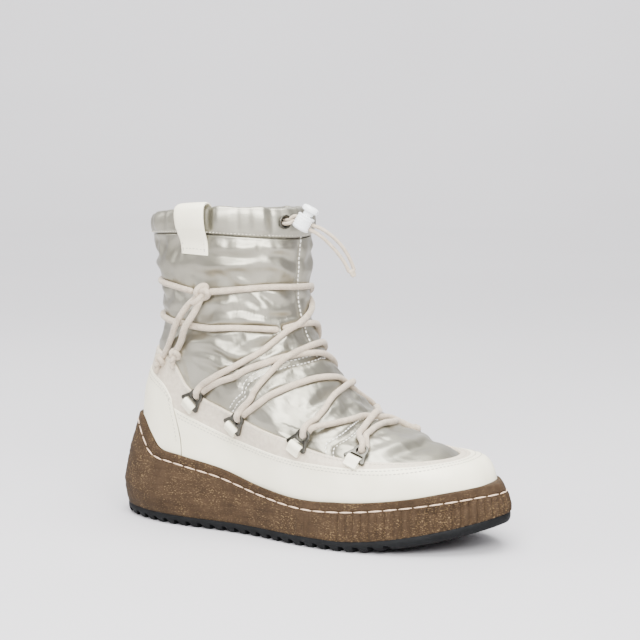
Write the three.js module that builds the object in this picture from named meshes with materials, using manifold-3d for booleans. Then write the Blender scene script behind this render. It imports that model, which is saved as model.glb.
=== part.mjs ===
// Padded apres ski boot for the right foot, standing on its lugged sole.
// Millimetres. +X points to the toe, +Y to the inner (medial) side, +Z up.
// The origin is the middle of the footprint, on the floor.
import * as THREE from 'three';
import { mergeVertices } from 'three/addons/utils/BufferGeometryUtils.js';
import Module from 'manifold-3d';

const wasm = await Module();
wasm.setup();

// Driving sizes
const SOLE_LENGTH = 272;
const BALL_WIDTH = 104;
const BOOT_HEIGHT = 204;
const CLEARANCE = 0.3;
const CORD_CLEARANCE = 0.55;

// Sole
const OUTSOLE_THICKNESS = 6.5;
const TOE_SPRING = 17;
const TREAD_DEPTH = 2.6;
const TREAD_PITCH = 12.5;
const GROOVE_WIDTH = 3.6;
const CENTRE_GROOVE_WIDTH = 5;
const SOLE_EDGE_ROUND = 2.6;
const WALL_BULGE = 2.6;
const LIP_STEP_HEIGHT = 0.7;
const LIP_WALL_THICKNESS = 1.8;
const RIB_PITCH = 5.2;
const RIB_HEIGHT = 0.55;
const PLAIN_PITCH = 8.5;
const OUTSOLE_EDGE_POINTS = 52;
const INSOLE_THICKNESS = 3.5;

// Upper and what is sewn on it
const UPPER_WALL = 4;
const OVERLAY_THICKNESS = 1.3;
const FACING_THICKNESS = 1.0;
const SEAM_GAP = 0.005;
const SEAT_GAP = 0.5;
const CUP_GAP = 0.9;
const TUNNEL_PUFF = 2.4;
const STRAP_THICKNESS = 1.3;

// Lace rings, laces and drawcord
const RING_BASE = 15;
const RING_HEIGHT = 12.5;
const RING_THICKNESS = 2;
const RING_WIRE = 2.1;
const LACE_HOLE = 5.6;
const RING_LIFT = 2.0;
const TAB_WIDTH = 9;
const TAB_LEATHER = 1.2;
const TAB_LENGTH = 7;
const LACE_DIAMETER = 4.8;
const KNOT_SIZE = { along: 11, deep: 9, tall: 17 };
const END_KNOT_DIAMETER = 7.2;
const DRAWCORD_DIAMETER = 2.8;
const EYELET_OUTSIDE = 10;
const EYELET_HOLE = 6.8;
const EYELET_THICKNESS = 1.2;
const LOCK_DIAMETER = 10;
const LOCK_HEIGHT = 9.4;
const LOCK_BORE = 7.2;
const BUTTON_DIAMETER = 11;
const BUTTON_HEIGHT = 4;
const BUTTON_TRAVEL = 2.4;
const TIP_LENGTH = 5;
const TIP_DEPTH = 3;

// Sections of the upper, from its bottom edge (v 0) to the collar (v 1).
// backX and frontX are shares of the sole length, backZ, frontZ and sag of the boot height,
// half and skew of the ball width. wide is the share of the length where the section is widest.
const SECTIONS = [
  [0.00, -0.4520, 0.1910, 0.4520, 0.1520, 0.409, 0.665, 2.5, 2.4, 0.069, 0.053],
  [0.08, -0.4560, 0.2450, 0.4490, 0.1979, 0.426, 0.665, 2.5, 2.5, 0.059, 0.053],
  [0.16, -0.4500, 0.3040, 0.4213, 0.2542, 0.426, 0.660, 2.5, 2.74, 0.044, 0.053],
  [0.23, -0.4460, 0.3630, 0.3622, 0.2690, 0.419, 0.650, 2.5, 2.1, 0.029, 0.048],
  [0.30, -0.4405, 0.4215, 0.2723, 0.3112, 0.411, 0.620, 2.4, 2.0, 0.015, 0.048],
  [0.38, -0.4220, 0.4850, 0.1789, 0.3533, 0.400, 0.590, 2.4, 2.1, 0.005, 0.038],
  [0.46, -0.4065, 0.5490, 0.1140, 0.4070, 0.394, 0.560, 2.3, 2.0, 0, 0.029],
  [0.55, -0.3935, 0.6180, 0.0580, 0.4800, 0.385, 0.530, 2.2, 2.0, 0, 0.019],
  [0.65, -0.3865, 0.6960, 0.0080, 0.5880, 0.375, 0.510, 2.2, 2.0, 0, 0.010],
  [0.76, -0.3915, 0.7840, -0.0235, 0.7255, 0.370, 0.500, 2.2, 2.1, -0.005, 0],
  [0.88, -0.4100, 0.8820, -0.0205, 0.8725, 0.385, 0.500, 2.2, 2.2, -0.015, 0],
  [1.00, -0.4155, 0.9800, -0.0255, 1.0000, 0.394, 0.500, 2.3, 2.3, -0.015, 0],
].map(([v, backX, backZ, frontX, frontZ, half, wide, heelPower, toePower, sag, skew]) => (
  { v, backX, backZ, frontX, frontZ, half, wide, heelPower, toePower, sag, skew }));
const UPPER_WAIST = 0.20;

// Plan of the sole: q runs from heel (0) to toe (1)
const SOLE_PLAN = {
  wide: 0.665, heelPower: 2.5, toePower: 1.81, waist: 0.19, waistAt: 0.38, waistReach: 0.17, skew: 0.055,
};
const SPRING_START = 0.66;
const SPRING_POWER = 1.67;

// Top of the sole's lip: height as a share of the boot height, inset as a share of the ball width
const LIP = [
  { q: 0.00, height: 0.330, inset: 0.078 },
  { q: 0.04, height: 0.324, inset: 0.074 },
  { q: 0.08, height: 0.280, inset: 0.058 },
  { q: 0.12, height: 0.240, inset: 0.044 },
  { q: 0.20, height: 0.225, inset: 0.034 },
  { q: 0.32, height: 0.200, inset: 0.030 },
  { q: 0.44, height: 0.162, inset: 0.029 },
  { q: 0.57, height: 0.142, inset: 0.030 },
  { q: 0.69, height: 0.149, inset: 0.032 },
  { q: 0.80, height: 0.167, inset: 0.034 },
  { q: 0.92, height: 0.194, inset: 0.042 },
  { q: 1.00, height: 0.206, inset: 0.048 },
];

// Upper edges of the sewn-on panels on one side, as u and v on the sections
const MUDGUARD_TOP = [
  { u: 0.139, v: 0.275 }, { u: 0.164, v: 0.258 }, { u: 0.193, v: 0.233 }, { u: 0.219, v: 0.215 },
  { u: 0.251, v: 0.192 }, { u: 0.300, v: 0.185 }, { u: 0.365, v: 0.190 }, { u: 0.434, v: 0.199 },
  { u: 0.500, v: 0.200 },
];
const COUNTER_TOP = [
  { u: 0.000, v: 0.386 }, { u: 0.060, v: 0.378 }, { u: 0.110, v: 0.364 }, { u: 0.128, v: 0.345 },
  { u: 0.137, v: 0.310 },
];
const FACING_TOP = [
  { u: 0.000, v: 0.462 }, { u: 0.110, v: 0.466 }, { u: 0.146, v: 0.462 }, { u: 0.158, v: 0.430 },
  { u: 0.170, v: 0.382 }, { u: 0.191, v: 0.352 }, { u: 0.214, v: 0.331 }, { u: 0.251, v: 0.276 },
  { u: 0.300, v: 0.234 }, { u: 0.365, v: 0.222 }, { u: 0.434, v: 0.223 }, { u: 0.500, v: 0.222 },
];
const COUNTER_EDGE = 0.137;
const PANEL_BOTTOM = 0.02;
const PANEL_ROWS = [0.05, 0.1, 0.15, 0.178];
const COLLAR_SEAM = 0.92;

// Lace rings on the outer side, front one last: the two ends of each ring's base bar
const LACE_RINGS = [
  { v0: 0.350, u0: 0.164, v1: 0.295, u1: 0.175 },
  { v0: 0.305, u0: 0.209, v1: 0.255, u1: 0.212 },
  { v0: 0.285, u0: 0.256, v1: 0.238, u1: 0.256 },
  { v0: 0.242, u0: 0.310, v1: 0.208, u1: 0.309 },
];

// Stretches of lace from ring to ring or up to the shaft: v, u and height over the upper in mm
const LACE_STRANDS = [
  { from: ['outer', 4], to: ['inner', 4], over: [[0.335, 0.415, 3.6], [0.362, 0.500, 3.4], [0.335, 0.585, 3.6]] },
  { from: ['outer', 4], to: ['inner', 3], over: [[0.345, 0.410, 3.6], [0.393, 0.489, 3.4], [0.388, 0.606, 3.6]] },
  { from: ['outer', 3], to: ['inner', 4], over: [[0.380, 0.383, 3.6], [0.413, 0.479, 3.4], [0.367, 0.570, 3.6]] },
  { from: ['outer', 3], to: ['inner', 2],
    over: [[0.390, 0.355, 3.8], [0.438, 0.396, 3.4], [0.497, 0.455, 3.6], [0.517, 0.529, 3.6], [0.470, 0.640, 3.8],
      [0.415, 0.722, 4.2]] },
  { from: ['outer', 2], to: ['inner', 3],
    over: [[0.410, 0.272, 4.0], [0.460, 0.312, 3.4], [0.527, 0.383, 3.4], [0.555, 0.446, 3.8], [0.545, 0.525, 3.8],
      [0.455, 0.610, 3.4]] },
  { from: ['outer', 2], to: ['inner', 1],
    over: [[0.420, 0.263, 4.0], [0.497, 0.306, 3.4], [0.598, 0.380, 3.4], [0.640, 0.455, 3.8], [0.642, 0.550, 3.8],
      [0.560, 0.675, 3.4], [0.490, 0.750, 4.0]] },
  { from: ['outer', 1], to: ['inner', 2],
    over: [[0.455, 0.232, 4.0], [0.540, 0.294, 3.4], [0.603, 0.374, 3.4], [0.623, 0.430, 3.6], [0.620, 0.510, 3.8],
      [0.580, 0.580, 3.6], [0.500, 0.670, 3.6], [0.425, 0.735, 4.2]] },
  { from: ['outer', 1], over: [[0.450, 0.218, 4.4], [0.525, 0.260, 3.4], [0.613, 0.341, 3.4], [0.685, 0.423, 3.6],
    [0.715, 0.495, 3.8], [0.735, 0.560, 3.6], [0.745, 0.600, 3.4]] },
  { from: ['inner', 1], over: [[0.470, 0.770, 4.2], [0.560, 0.700, 3.4], [0.640, 0.620, 3.4], [0.685, 0.566, 3.6],
    [0.700, 0.500, 3.8], [0.698, 0.454, 3.6], [0.690, 0.420, 3.4]] },
];

// The lace's two turns round the shaft and its two ends, as v, u and height over the upper
const UPPER_TURN = [[0.748, 0.615, 3.4], [0.751, 0.700, 3.2], [0.752, 0.800, 3.2], [0.750, 0.900, 3.4],
  [0.748, 1.000, 3.4], [0.748, 1.110, 3.4], [0.750, 1.180, 3.4], [0.750, 1.227, 4.6]];
const LOWER_TURN = [[0.684, 0.394, 3.4], [0.680, 0.350, 3.4], [0.667, 0.294, 3.2], [0.642, 0.230, 3.2],
  [0.630, 0.180, 3.2], [0.618, 0.135, 3.4], [0.610, 0.072, 3.4], [0.603, 0.000, 3.4], [0.606, -0.080, 3.4],
  [0.630, -0.160, 3.4], [0.680, -0.250, 3.6], [0.745, -0.345, 8.8], [0.778, -0.410, 4.6],
  [0.787, -0.450, 3.9], [0.793, -0.520, 3.9], [0.792, -0.600, 3.6], [0.775, -0.680, 3.2],
  [0.760, -0.730, 4.6]];
const REAR_TAIL = [[0.700, 0.216, 7.0], [0.675, 0.205, 8.6], [0.632, 0.185, 8.8], [0.556, 0.155, 7.0],
  [0.500, 0.135, 5.8], [0.464, 0.1225, 5.6]];
const FRONT_TAIL = [[0.694, 0.234, 7.6], [0.666, 0.223, 8.8], [0.632, 0.207, 8.8], [0.572, 0.184, 6.6],
  [0.521, 0.165, 5.6]];
const KNOT_PLACE = [0.750, 0.248, 5.4];
const REAR_END_KNOT = [0.436, 0.113, 5.6];
const FRONT_END_KNOT = [0.492, 0.159, 5.6];

// Pull loop, eyelet and cord lock
const STRAP_EDGES = [0.217, 0.2425, 0.268];
const EYELET_PLACE = { v: 0.972, u: 0.437 };
const LOCK_CENTRE = new THREE.Vector3(4.7, -17.6, 198.2);
const LOCK_AXIS = new THREE.Vector3(0.42, 0.25, 0.87).normalize();
const LOCK_FORWARD = new THREE.Vector3(0.94, 0.34, 0);

// The two drawcord ends, from the eyelet through the lock to the crimped tip, in mm
const LOWER_DRAWCORD = [[-10.3, -18.8, 197.4], [-8.5, -19.6, 197.4], [-6.6, -20.5, 197.4], [-5.2, -20.8, 197.6],
  [-3.0, -20.5, 198.2], [-1.0, -19.6, 199.5], [-0.1, -19.3, 199.3], [8.3, -16.7, 194.4], [13.8, -14.3, 191.0],
  [18.2, -12.1, 187.0], [22.2, -10.2, 182.5], [25.8, -8.4, 177.7], [28.7, -6.9, 172.9], [30.7, -6.0, 168.2]];
const UPPER_DRAWCORD = [[-9.4, -16.8, 199.5], [-7.6, -17.6, 199.5], [-5.7, -18.5, 199.5], [-4.5, -19.1, 199.6],
  [-2.4, -19.0, 201.6], [0.3, -18.8, 202.4], [1.2, -18.5, 201.9], [9.6, -15.9, 197.1], [15.4, -13.4, 194.6],
  [20.4, -10.9, 190.8], [25.0, -8.4, 186.0], [28.7, -6.2, 180.3], [31.4, -4.7, 174.7], [33.2, -3.7, 169.4]];

const MATERIALS = {
  rubber: new THREE.MeshStandardMaterial({ color: 0x26282a, roughness: 0.8, metalness: 0 }),
  cork: new THREE.MeshStandardMaterial({ color: 0x765a42, roughness: 0.85, metalness: 0 }),
  felt: new THREE.MeshStandardMaterial({ color: 0xd9d3c7, roughness: 1, metalness: 0 }),
  silver: new THREE.MeshStandardMaterial({ color: 0xc3c3b8, roughness: 0.35, metalness: 0.7 }),
  cream: new THREE.MeshStandardMaterial({ color: 0xe6e4da, roughness: 0.6, metalness: 0 }),
  beige: new THREE.MeshStandardMaterial({ color: 0xd5ccbf, roughness: 0.7, metalness: 0 }),
  gunmetal: new THREE.MeshStandardMaterial({ color: 0x55534c, roughness: 0.35, metalness: 0.9 }),
  cord: new THREE.MeshStandardMaterial({ color: 0xe1d7cb, roughness: 0.9, metalness: 0 }),
  plastic: new THREE.MeshStandardMaterial({ color: 0xeef0ee, roughness: 0.4, metalness: 0 }),
};

const boot = new THREE.Group();
const UP = new THREE.Vector3(0, 0, 1);
const COLUMNS = 40;

// Smooth interpolation in a table with named columns
function lookUp(table, key, column, at) {
  const last = table.length - 1;
  let i = 0;
  while (i < last - 1 && at > table[i + 1][key]) i += 1;
  const slope = (k) => {
    const a = Math.max(k - 1, 0);
    const b = Math.min(k + 1, last);
    return (table[b][column] - table[a][column]) / (table[b][key] - table[a][key]);
  };
  const step = table[i + 1][key] - table[i][key];
  const t = (at - table[i][key]) / step;
  const t2 = t * t;
  const t3 = t2 * t;
  return (2 * t3 - 3 * t2 + 1) * table[i][column] + (t3 - 2 * t2 + t) * step * slope(i)
    + (3 * t2 - 2 * t3) * table[i + 1][column] + (t3 - t2) * step * slope(i + 1);
}

function fade(from, to, at) {
  return THREE.MathUtils.smoothstep(at, from, to);
}

// u mirrored to the outer half, so that one table serves both sides
function oneSide(u) {
  const w = u - Math.floor(u);
  return Math.min(w, 1 - w);
}

// Point of a rounded plan: along (0 heel to 1 toe) and across (-1 outer side to 1 inner side)
function planPoint(u, wide, heelPower, toePower) {
  const angle = 2 * Math.PI * u;
  const c = -Math.cos(angle);
  const s = Math.sin(angle);
  const power = c < 0 ? heelPower : toePower;
  const t = Math.sign(c) * Math.abs(c) ** (2 / power);
  const along = t < 0 ? wide + t * wide : wide + t * (1 - wide);
  return { along, across: -Math.sign(s) * Math.abs(s) ** (2 / power) };
}

// Outer surface of the bare upper at height share v and turn share u
function skinPoint(v, u) {
  const at = (column) => lookUp(SECTIONS, 'v', column, v);
  const plan = planPoint(u, at('wide'), at('heelPower'), at('toePower'));
  const q = plan.along;
  const low = 1 - fade(0.15, 0.5, v);
  const waist = 1 - UPPER_WAIST * low * Math.exp(-(((q - 0.36) / 0.17) ** 2));
  const backX = at('backX') * SOLE_LENGTH;
  const backZ = at('backZ') * BOOT_HEIGHT;
  return new THREE.Vector3(
    backX + (at('frontX') * SOLE_LENGTH - backX) * q,
    plan.across * at('half') * BALL_WIDTH * waist + at('skew') * BALL_WIDTH * fade(0.5, 1, q),
    backZ + (at('frontZ') * BOOT_HEIGHT - backZ) * q - at('sag') * BOOT_HEIGHT * 4 * q * (1 - q),
  );
}

// Outward direction square to the upper
function skinNormal(v, u) {
  const e = 0.002;
  const alongV = skinPoint(Math.min(v + e, 1), u).sub(skinPoint(Math.max(v - e, 0), u));
  const alongU = skinPoint(v, u + e).sub(skinPoint(v, u - e));
  return alongU.cross(alongV).normalize();
}

function skin(v, u, out = 0) {
  return skinPoint(v, u).addScaledVector(skinNormal(v, u), out);
}

// The same, pushed out level, so that the height stays
function skinLevel(v, u, out) {
  const normal = skinNormal(v, u);
  normal.z = 0;
  return skinPoint(v, u).addScaledVector(normal.normalize(), out);
}

// Height share where the upper passes a given height
function skinAtHeight(u, z) {
  let low = 0;
  let high = 0.5;
  for (let k = 0; k < 30; k += 1) {
    const middle = (low + high) / 2;
    if (skinPoint(middle, u).z < z) low = middle;
    else high = middle;
  }
  return low;
}

// Plan of the sole at turn share u, moved outwards by out
function solePoint(u, out) {
  const raw = (w) => {
    const plan = planPoint(w, SOLE_PLAN.wide, SOLE_PLAN.heelPower, SOLE_PLAN.toePower);
    const q = plan.along;
    const waist = 1 - SOLE_PLAN.waist * Math.exp(-(((q - SOLE_PLAN.waistAt) / SOLE_PLAN.waistReach) ** 2));
    const y = plan.across * (BALL_WIDTH / 2) * waist + SOLE_PLAN.skew * BALL_WIDTH * fade(0.5, 1, q);
    return { x: (q - 0.5) * SOLE_LENGTH, y, q };
  };
  const e = 0.002;
  const here = raw(u);
  const before = raw(u - e);
  const after = raw(u + e);
  const outward = new THREE.Vector2(after.y - before.y, before.x - after.x).normalize();
  return { x: here.x + outward.x * out, y: here.y + outward.y * out, q: here.q };
}

function spring(q) {
  const rise = Math.max(q - SPRING_START, 0) / (1 - SPRING_START);
  return TOE_SPRING * rise ** SPRING_POWER;
}

function geometryOf(points, faces) {
  const geometry = new THREE.BufferGeometry();
  geometry.setAttribute('position', new THREE.Float32BufferAttribute(points.flatMap((p) => [p.x, p.y, p.z]), 3));
  let volume = 0;
  for (const [a, b, c] of faces) {
    volume += points[a].dot(new THREE.Vector3().crossVectors(points[b], points[c]));
  }
  geometry.setIndex(volume > 0 ? faces.flat() : faces.flatMap(([a, b, c]) => [a, c, b]));
  return geometry;
}

// Closed solid through a stack of rings with the same number of points.
// Ends are closed by a fan, or by strips across a ring that is a mirrored plan, or joined as a loop.
function stack(rings, ends) {
  const n = rings[0].length;
  const count = rings.length;
  const faces = [];
  const spans = ends === 'loop' ? count : count - 1;
  for (let r = 0; r < spans; r += 1) {
    const low = r * n;
    const high = ((r + 1) % count) * n;
    for (let i = 0; i < n; i += 1) {
      const j = (i + 1) % n;
      faces.push([low + i, low + j, high + j], [low + i, high + j, high + i]);
    }
  }
  const close = (base, flip) => {
    const add = (a, b, c) => faces.push(flip ? [base + a, base + c, base + b] : [base + a, base + b, base + c]);
    if (ends === 'fan') {
      for (let i = 1; i < n - 1; i += 1) add(0, i, i + 1);
      return;
    }
    for (let i = 0; i < n / 2; i += 1) {
      const far = (n - i) % n;
      if (i > 0) add(i, n - i - 1, far);
      if (i + 1 < n - i - 1) add(i, i + 1, n - i - 1);
    }
  };
  if (ends !== 'loop') {
    close(0, true);
    close((count - 1) * n, false);
  }
  return geometryOf(rings.flat(), faces);
}

function toSolid(geometry) {
  const bare = geometry.clone();
  bare.deleteAttribute('normal');
  bare.deleteAttribute('uv');
  const merged = mergeVertices(bare, 1e-4);
  return new wasm.Manifold(new wasm.Mesh({
    numProp: 3,
    vertProperties: new Float32Array(merged.attributes.position.array),
    triVerts: new Uint32Array(merged.index.array),
  }));
}

function toGeometry(solid) {
  const mesh = solid.getMesh();
  const geometry = new THREE.BufferGeometry();
  geometry.setAttribute('position', new THREE.BufferAttribute(mesh.vertProperties, 3));
  geometry.setIndex(new THREE.BufferAttribute(mesh.triVerts, 1));
  return geometry;
}

function addPiece(name, geometry, material) {
  const piece = new THREE.Mesh(geometry, material);
  piece.name = name;
  boot.add(piece);
  return piece;
}

// Outsole: a rubber plate with a rounded edge, cut into lugs
function outsole() {
  const turns = Array.from({ length: OUTSOLE_EDGE_POINTS }, (_, i) => i / OUTSOLE_EDGE_POINTS);
  const level = (out, height) => turns.map((u) => {
    const p = solePoint(u, out);
    return new THREE.Vector3(p.x, p.y, spring(p.q) + height);
  });
  let plate = toSolid(stack([
    level(-SOLE_EDGE_ROUND, 0),
    level(-SOLE_EDGE_ROUND * 0.3, SOLE_EDGE_ROUND * 0.6),
    level(0, SOLE_EDGE_ROUND * 1.5),
    level(0, OUTSOLE_THICKNESS),
  ], 'strips'));
  const grooves = Math.floor((SOLE_LENGTH - TREAD_PITCH) / TREAD_PITCH);
  const reach = TOE_SPRING;
  for (let k = 1; k <= grooves; k += 1) {
    const x = -SOLE_LENGTH / 2 + k * TREAD_PITCH;
    const q = x / SOLE_LENGTH + 0.5;
    const roof = spring(q) + TREAD_DEPTH;
    const groove = new THREE.BoxGeometry(GROOVE_WIDTH, BALL_WIDTH * 1.2, reach);
    groove.translate(0, 0, -reach / 2);
    groove.rotateY(-Math.atan2(spring(q + 0.01) - spring(q - 0.01), 0.02 * SOLE_LENGTH));
    groove.translate(x, 0, roof);
    plate = plate.subtract(toSolid(groove));
  }
  const flatLength = SOLE_LENGTH * (SPRING_START - 0.06);
  const centre = new THREE.BoxGeometry(flatLength, CENTRE_GROOVE_WIDTH, TREAD_DEPTH * 2);
  centre.translate(SOLE_LENGTH * (0.06 - 0.5) + flatLength / 2, 0, 0);
  plate = plate.subtract(toSolid(centre));
  addPiece('outsole', toGeometry(plate), MATERIALS.rubber);
}

// Turn shares along the sole's edge at an even pitch, the same on both sides
function evenTurns(from, to, pitch) {
  const fine = 400;
  const lengths = [0];
  for (let i = 1; i <= fine; i += 1) {
    const a = solePoint(from + ((to - from) * (i - 1)) / fine, 0);
    const b = solePoint(from + ((to - from) * i) / fine, 0);
    lengths.push(lengths[i - 1] + Math.hypot(b.x - a.x, b.y - a.y));
  }
  const steps = Math.max(2, Math.round(lengths[fine] / pitch));
  return Array.from({ length: steps }, (_, k) => {
    const wanted = (lengths[fine] * k) / steps;
    const i = lengths.findIndex((length) => length > wanted);
    const share = (wanted - lengths[i - 1]) / (lengths[i] - lengths[i - 1]);
    return from + ((to - from) * (i - 1 + share)) / fine;
  });
}

// Distance in plan from a point to a closed outline, negative inside it
function planGap(point, outline) {
  let least = Infinity;
  let inside = false;
  outline.forEach((a, i) => {
    const b = outline[(i + 1) % outline.length];
    const edge = { x: b.x - a.x, y: b.y - a.y };
    const reach = ((point.x - a.x) * edge.x + (point.y - a.y) * edge.y) / (edge.x ** 2 + edge.y ** 2);
    const t = THREE.MathUtils.clamp(reach, 0, 1);
    least = Math.min(least, Math.hypot(point.x - a.x - edge.x * t, point.y - a.y - edge.y * t));
    const crosses = (a.y > point.y) !== (b.y > point.y);
    if (crosses && point.x < a.x + ((point.y - a.y) * edge.x) / edge.y) inside = !inside;
  });
  return inside ? -least : least;
}

// Midsole: the brown cup with a flared wall, ribs round the toe, a stitched lip and a heel cup
function midsole() {
  const plainEnd = 0.236;
  const half = [...evenTurns(0, plainEnd, PLAIN_PITCH), ...evenTurns(plainEnd, 0.5, RIB_PITCH / 2)];
  const turns = [...half, 0.5, ...half.slice(1).reverse().map((u) => 1 - u)];
  const panel = SEAT_GAP + OVERLAY_THICKNESS + CUP_GAP;
  const wall = (outOf, heightOf, ribbed) => {
    const seat = turns.map((u) => skinLevel(skinAtHeight(u, heightOf(solePoint(u, 0).q)), u, panel));
    return turns.map((u, i) => {
      const q = solePoint(u, 0).q;
      const height = heightOf(q);
      const rib = ribbed && i % 2 === 0 ? RIB_HEIGHT * fade(0.58, 0.66, q) : 0;
      const out = outOf(q) + rib;
      const beside = height > skinPoint(0, u).z;
      const tooThin = beside ? Math.max(LIP_WALL_THICKNESS - planGap(solePoint(u, out), seat), 0) : 0;
      const p = solePoint(u, out + tooThin);
      return new THREE.Vector3(p.x, p.y, height);
    });
  };
  const bottom = (q) => spring(q) + OUTSOLE_THICKNESS + CLEARANCE;
  const lip = (q) => lookUp(LIP, 'q', 'height', q) * BOOT_HEIGHT;
  const inset = (q) => lookUp(LIP, 'q', 'inset', q) * BALL_WIDTH;
  const between = (share) => (q) => bottom(q) + (lip(q) - bottom(q)) * share;
  const bulge = (q) => WALL_BULGE * (1 - fade(0.05, 0.45, q));
  const inner = (share) => turns.map((u) => {
    const top = skinAtHeight(u, lip(solePoint(u, 0).q) - LIP_STEP_HEIGHT);
    return skinLevel(top * share, u, panel);
  });
  const floor = turns.map((u) => {
    const p = skinLevel(0, u, panel);
    p.z -= CLEARANCE;
    return p;
  });
  const outerTop = wall((q) => -inset(q), (q) => lip(q) - LIP_STEP_HEIGHT, false);
  const innerTop = inner(1);
  const crest = outerTop.map((p, i) => p.clone().lerp(innerTop[i], 0.45).add(new THREE.Vector3(0, 0, LIP_STEP_HEIGHT)));
  const rings = [
    wall(() => 0, bottom, true),
    wall((q) => bulge(q), between(0.26), true),
    wall((q) => bulge(q) * 0.5 - inset(q) * 0.35, between(0.6), true),
    wall((q) => -inset(q) * 0.8, between(0.86), true),
    outerTop,
    crest,
    innerTop,
    inner(0.6),
    inner(0.25),
    floor,
  ];
  return addPiece('midsole', stack(rings, 'strips'), MATERIALS.cork);
}

// Insole lying inside the upper's bottom edge
function insole() {
  const turns = Array.from({ length: COLUMNS }, (_, i) => i / COLUMNS);
  const level = (out, rise) => turns.map((u) => {
    const p = skinLevel(0, u, out);
    p.z += rise;
    return p;
  });
  const edge = UPPER_WALL + CLEARANCE;
  const rings = [level(-edge, 0), level(-edge - 0.6, INSOLE_THICKNESS * 0.7), level(-edge - 2, INSOLE_THICKNESS)];
  addPiece('insole', stack(rings, 'strips'), MATERIALS.felt);
}

// Upper: one padded wall from the insole to the collar seam, open at both ends
function upper() {
  const outside = [0, ...PANEL_ROWS, 0.2, 0.225, 0.25, 0.3, 0.36, 0.43, 0.5, 0.58, 0.67, 0.76, 0.85, COLLAR_SEAM];
  const inside = [COLLAR_SEAM, 0.76, 0.6, 0.48, 0.38, 0.28, 0.2, 0.14, 0.07];
  const turns = Array.from({ length: COLUMNS }, (_, i) => i / COLUMNS);
  const rings = outside.map((v) => turns.map((u) => skinPoint(v, u)));
  inside.forEach((v) => rings.push(turns.map((u) => skin(v, u, -UPPER_WALL))));
  rings.push(turns.map((u) => skinLevel(0, u, -UPPER_WALL)));
  addPiece('upper', stack(rings, 'loop'), MATERIALS.silver);
}

// A sewn-on panel at turn share u: a thin section through the given height shares
function panelSection(u, rows, thickness) {
  const inside = rows.map((v) => skin(v, u, SEAT_GAP));
  const outside = rows.map((v) => skin(v, u, SEAT_GAP + thickness)).reverse();
  return [...inside, ...outside];
}

// The upper's own columns between two turn shares, with both ends and any extra ones
function columnsBetween(from, to, extra = []) {
  const own = Array.from({ length: 2 * COLUMNS }, (_, i) => i / COLUMNS - 1);
  const inner = [...own, ...extra].filter((u) => u > from + 0.003 && u < to - 0.003);
  return [from, ...inner.sort((a, b) => a - b), to];
}

const edgeHeight = (table, u) => lookUp(table, 'u', 'v', oneSide(u));

function panels() {
  const front = COUNTER_EDGE + SEAM_GAP / 2;
  const mudguard = columnsBetween(front, 1 - front)
    .map((u) => panelSection(u, [PANEL_BOTTOM, ...PANEL_ROWS, edgeHeight(MUDGUARD_TOP, u)], OVERLAY_THICKNESS));
  addPiece('mudguard', stack(mudguard, 'fan'), MATERIALS.cream);

  const back = COUNTER_EDGE - SEAM_GAP / 2;
  const counterRows = [PANEL_BOTTOM, ...PANEL_ROWS, 0.2, 0.25];
  const counter = columnsBetween(-back, back, [-0.115, 0.115])
    .map((u) => {
      const high = edgeHeight(COUNTER_TOP, u);
      return panelSection(u, [...counterRows, (counterRows.at(-1) + high) / 2, high], OVERLAY_THICKNESS);
    });
  addPiece('heel_counter', stack(counter, 'fan'), MATERIALS.cream);

  const underFacing = (u) => {
    const table = oneSide(u) < COUNTER_EDGE ? COUNTER_TOP : MUDGUARD_TOP;
    return edgeHeight(table, u) + SEAM_GAP;
  };
  const corners = [back, front, 0.158, 0.164, 0.17, 0.19];
  const side = columnsBetween(0, 0.5, corners).slice(0, -1);
  const around = [...side, 0.5, ...side.slice(1).reverse().map((u) => 1 - u)];
  const facing = around.map((u) => {
    const low = underFacing(u);
    const high = edgeHeight(FACING_TOP, u);
    return panelSection(u, [low, (low + high) / 2, high], FACING_THICKNESS);
  });
  addPiece('facing', stack(facing, 'loop'), MATERIALS.beige);
}

// Collar: the puffed drawcord tunnel on top of the shaft, with the eyelet's pocket
function collar() {
  const inner = -UPPER_WALL;
  const foot = COLLAR_SEAM + 0.003;
  const section = [
    [foot, 0], [0.94, TUNNEL_PUFF * 0.85], [0.965, TUNNEL_PUFF], [0.988, TUNNEL_PUFF * 0.4], [1, inner / 2],
    [0.985, inner - TUNNEL_PUFF * 0.5], [0.955, inner - TUNNEL_PUFF * 0.6], [foot, inner],
  ];
  const turns = Array.from({ length: COLUMNS }, (_, i) => i / COLUMNS);
  const tunnel = stack(turns.map((u) => section.map(([v, out]) => skin(v, u, out))), 'loop');
  const place = eyeletPlace();
  const pocket = new THREE.CylinderGeometry(EYELET_HOLE / 2, EYELET_HOLE / 2, 9, 16);
  pocket.applyQuaternion(new THREE.Quaternion().setFromUnitVectors(new THREE.Vector3(0, 1, 0), place.normal));
  pocket.translate(...place.centre.toArray());
  addPiece('collar_tunnel', toGeometry(toSolid(tunnel).subtract(toSolid(pocket))), MATERIALS.silver);
}

function eyeletPlace() {
  const { v, u } = EYELET_PLACE;
  const normal = skinNormal(v, u);
  normal.z = 0;
  normal.normalize();
  return { normal, centre: skin(v, u, TUNNEL_PUFF) };
}

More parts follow.
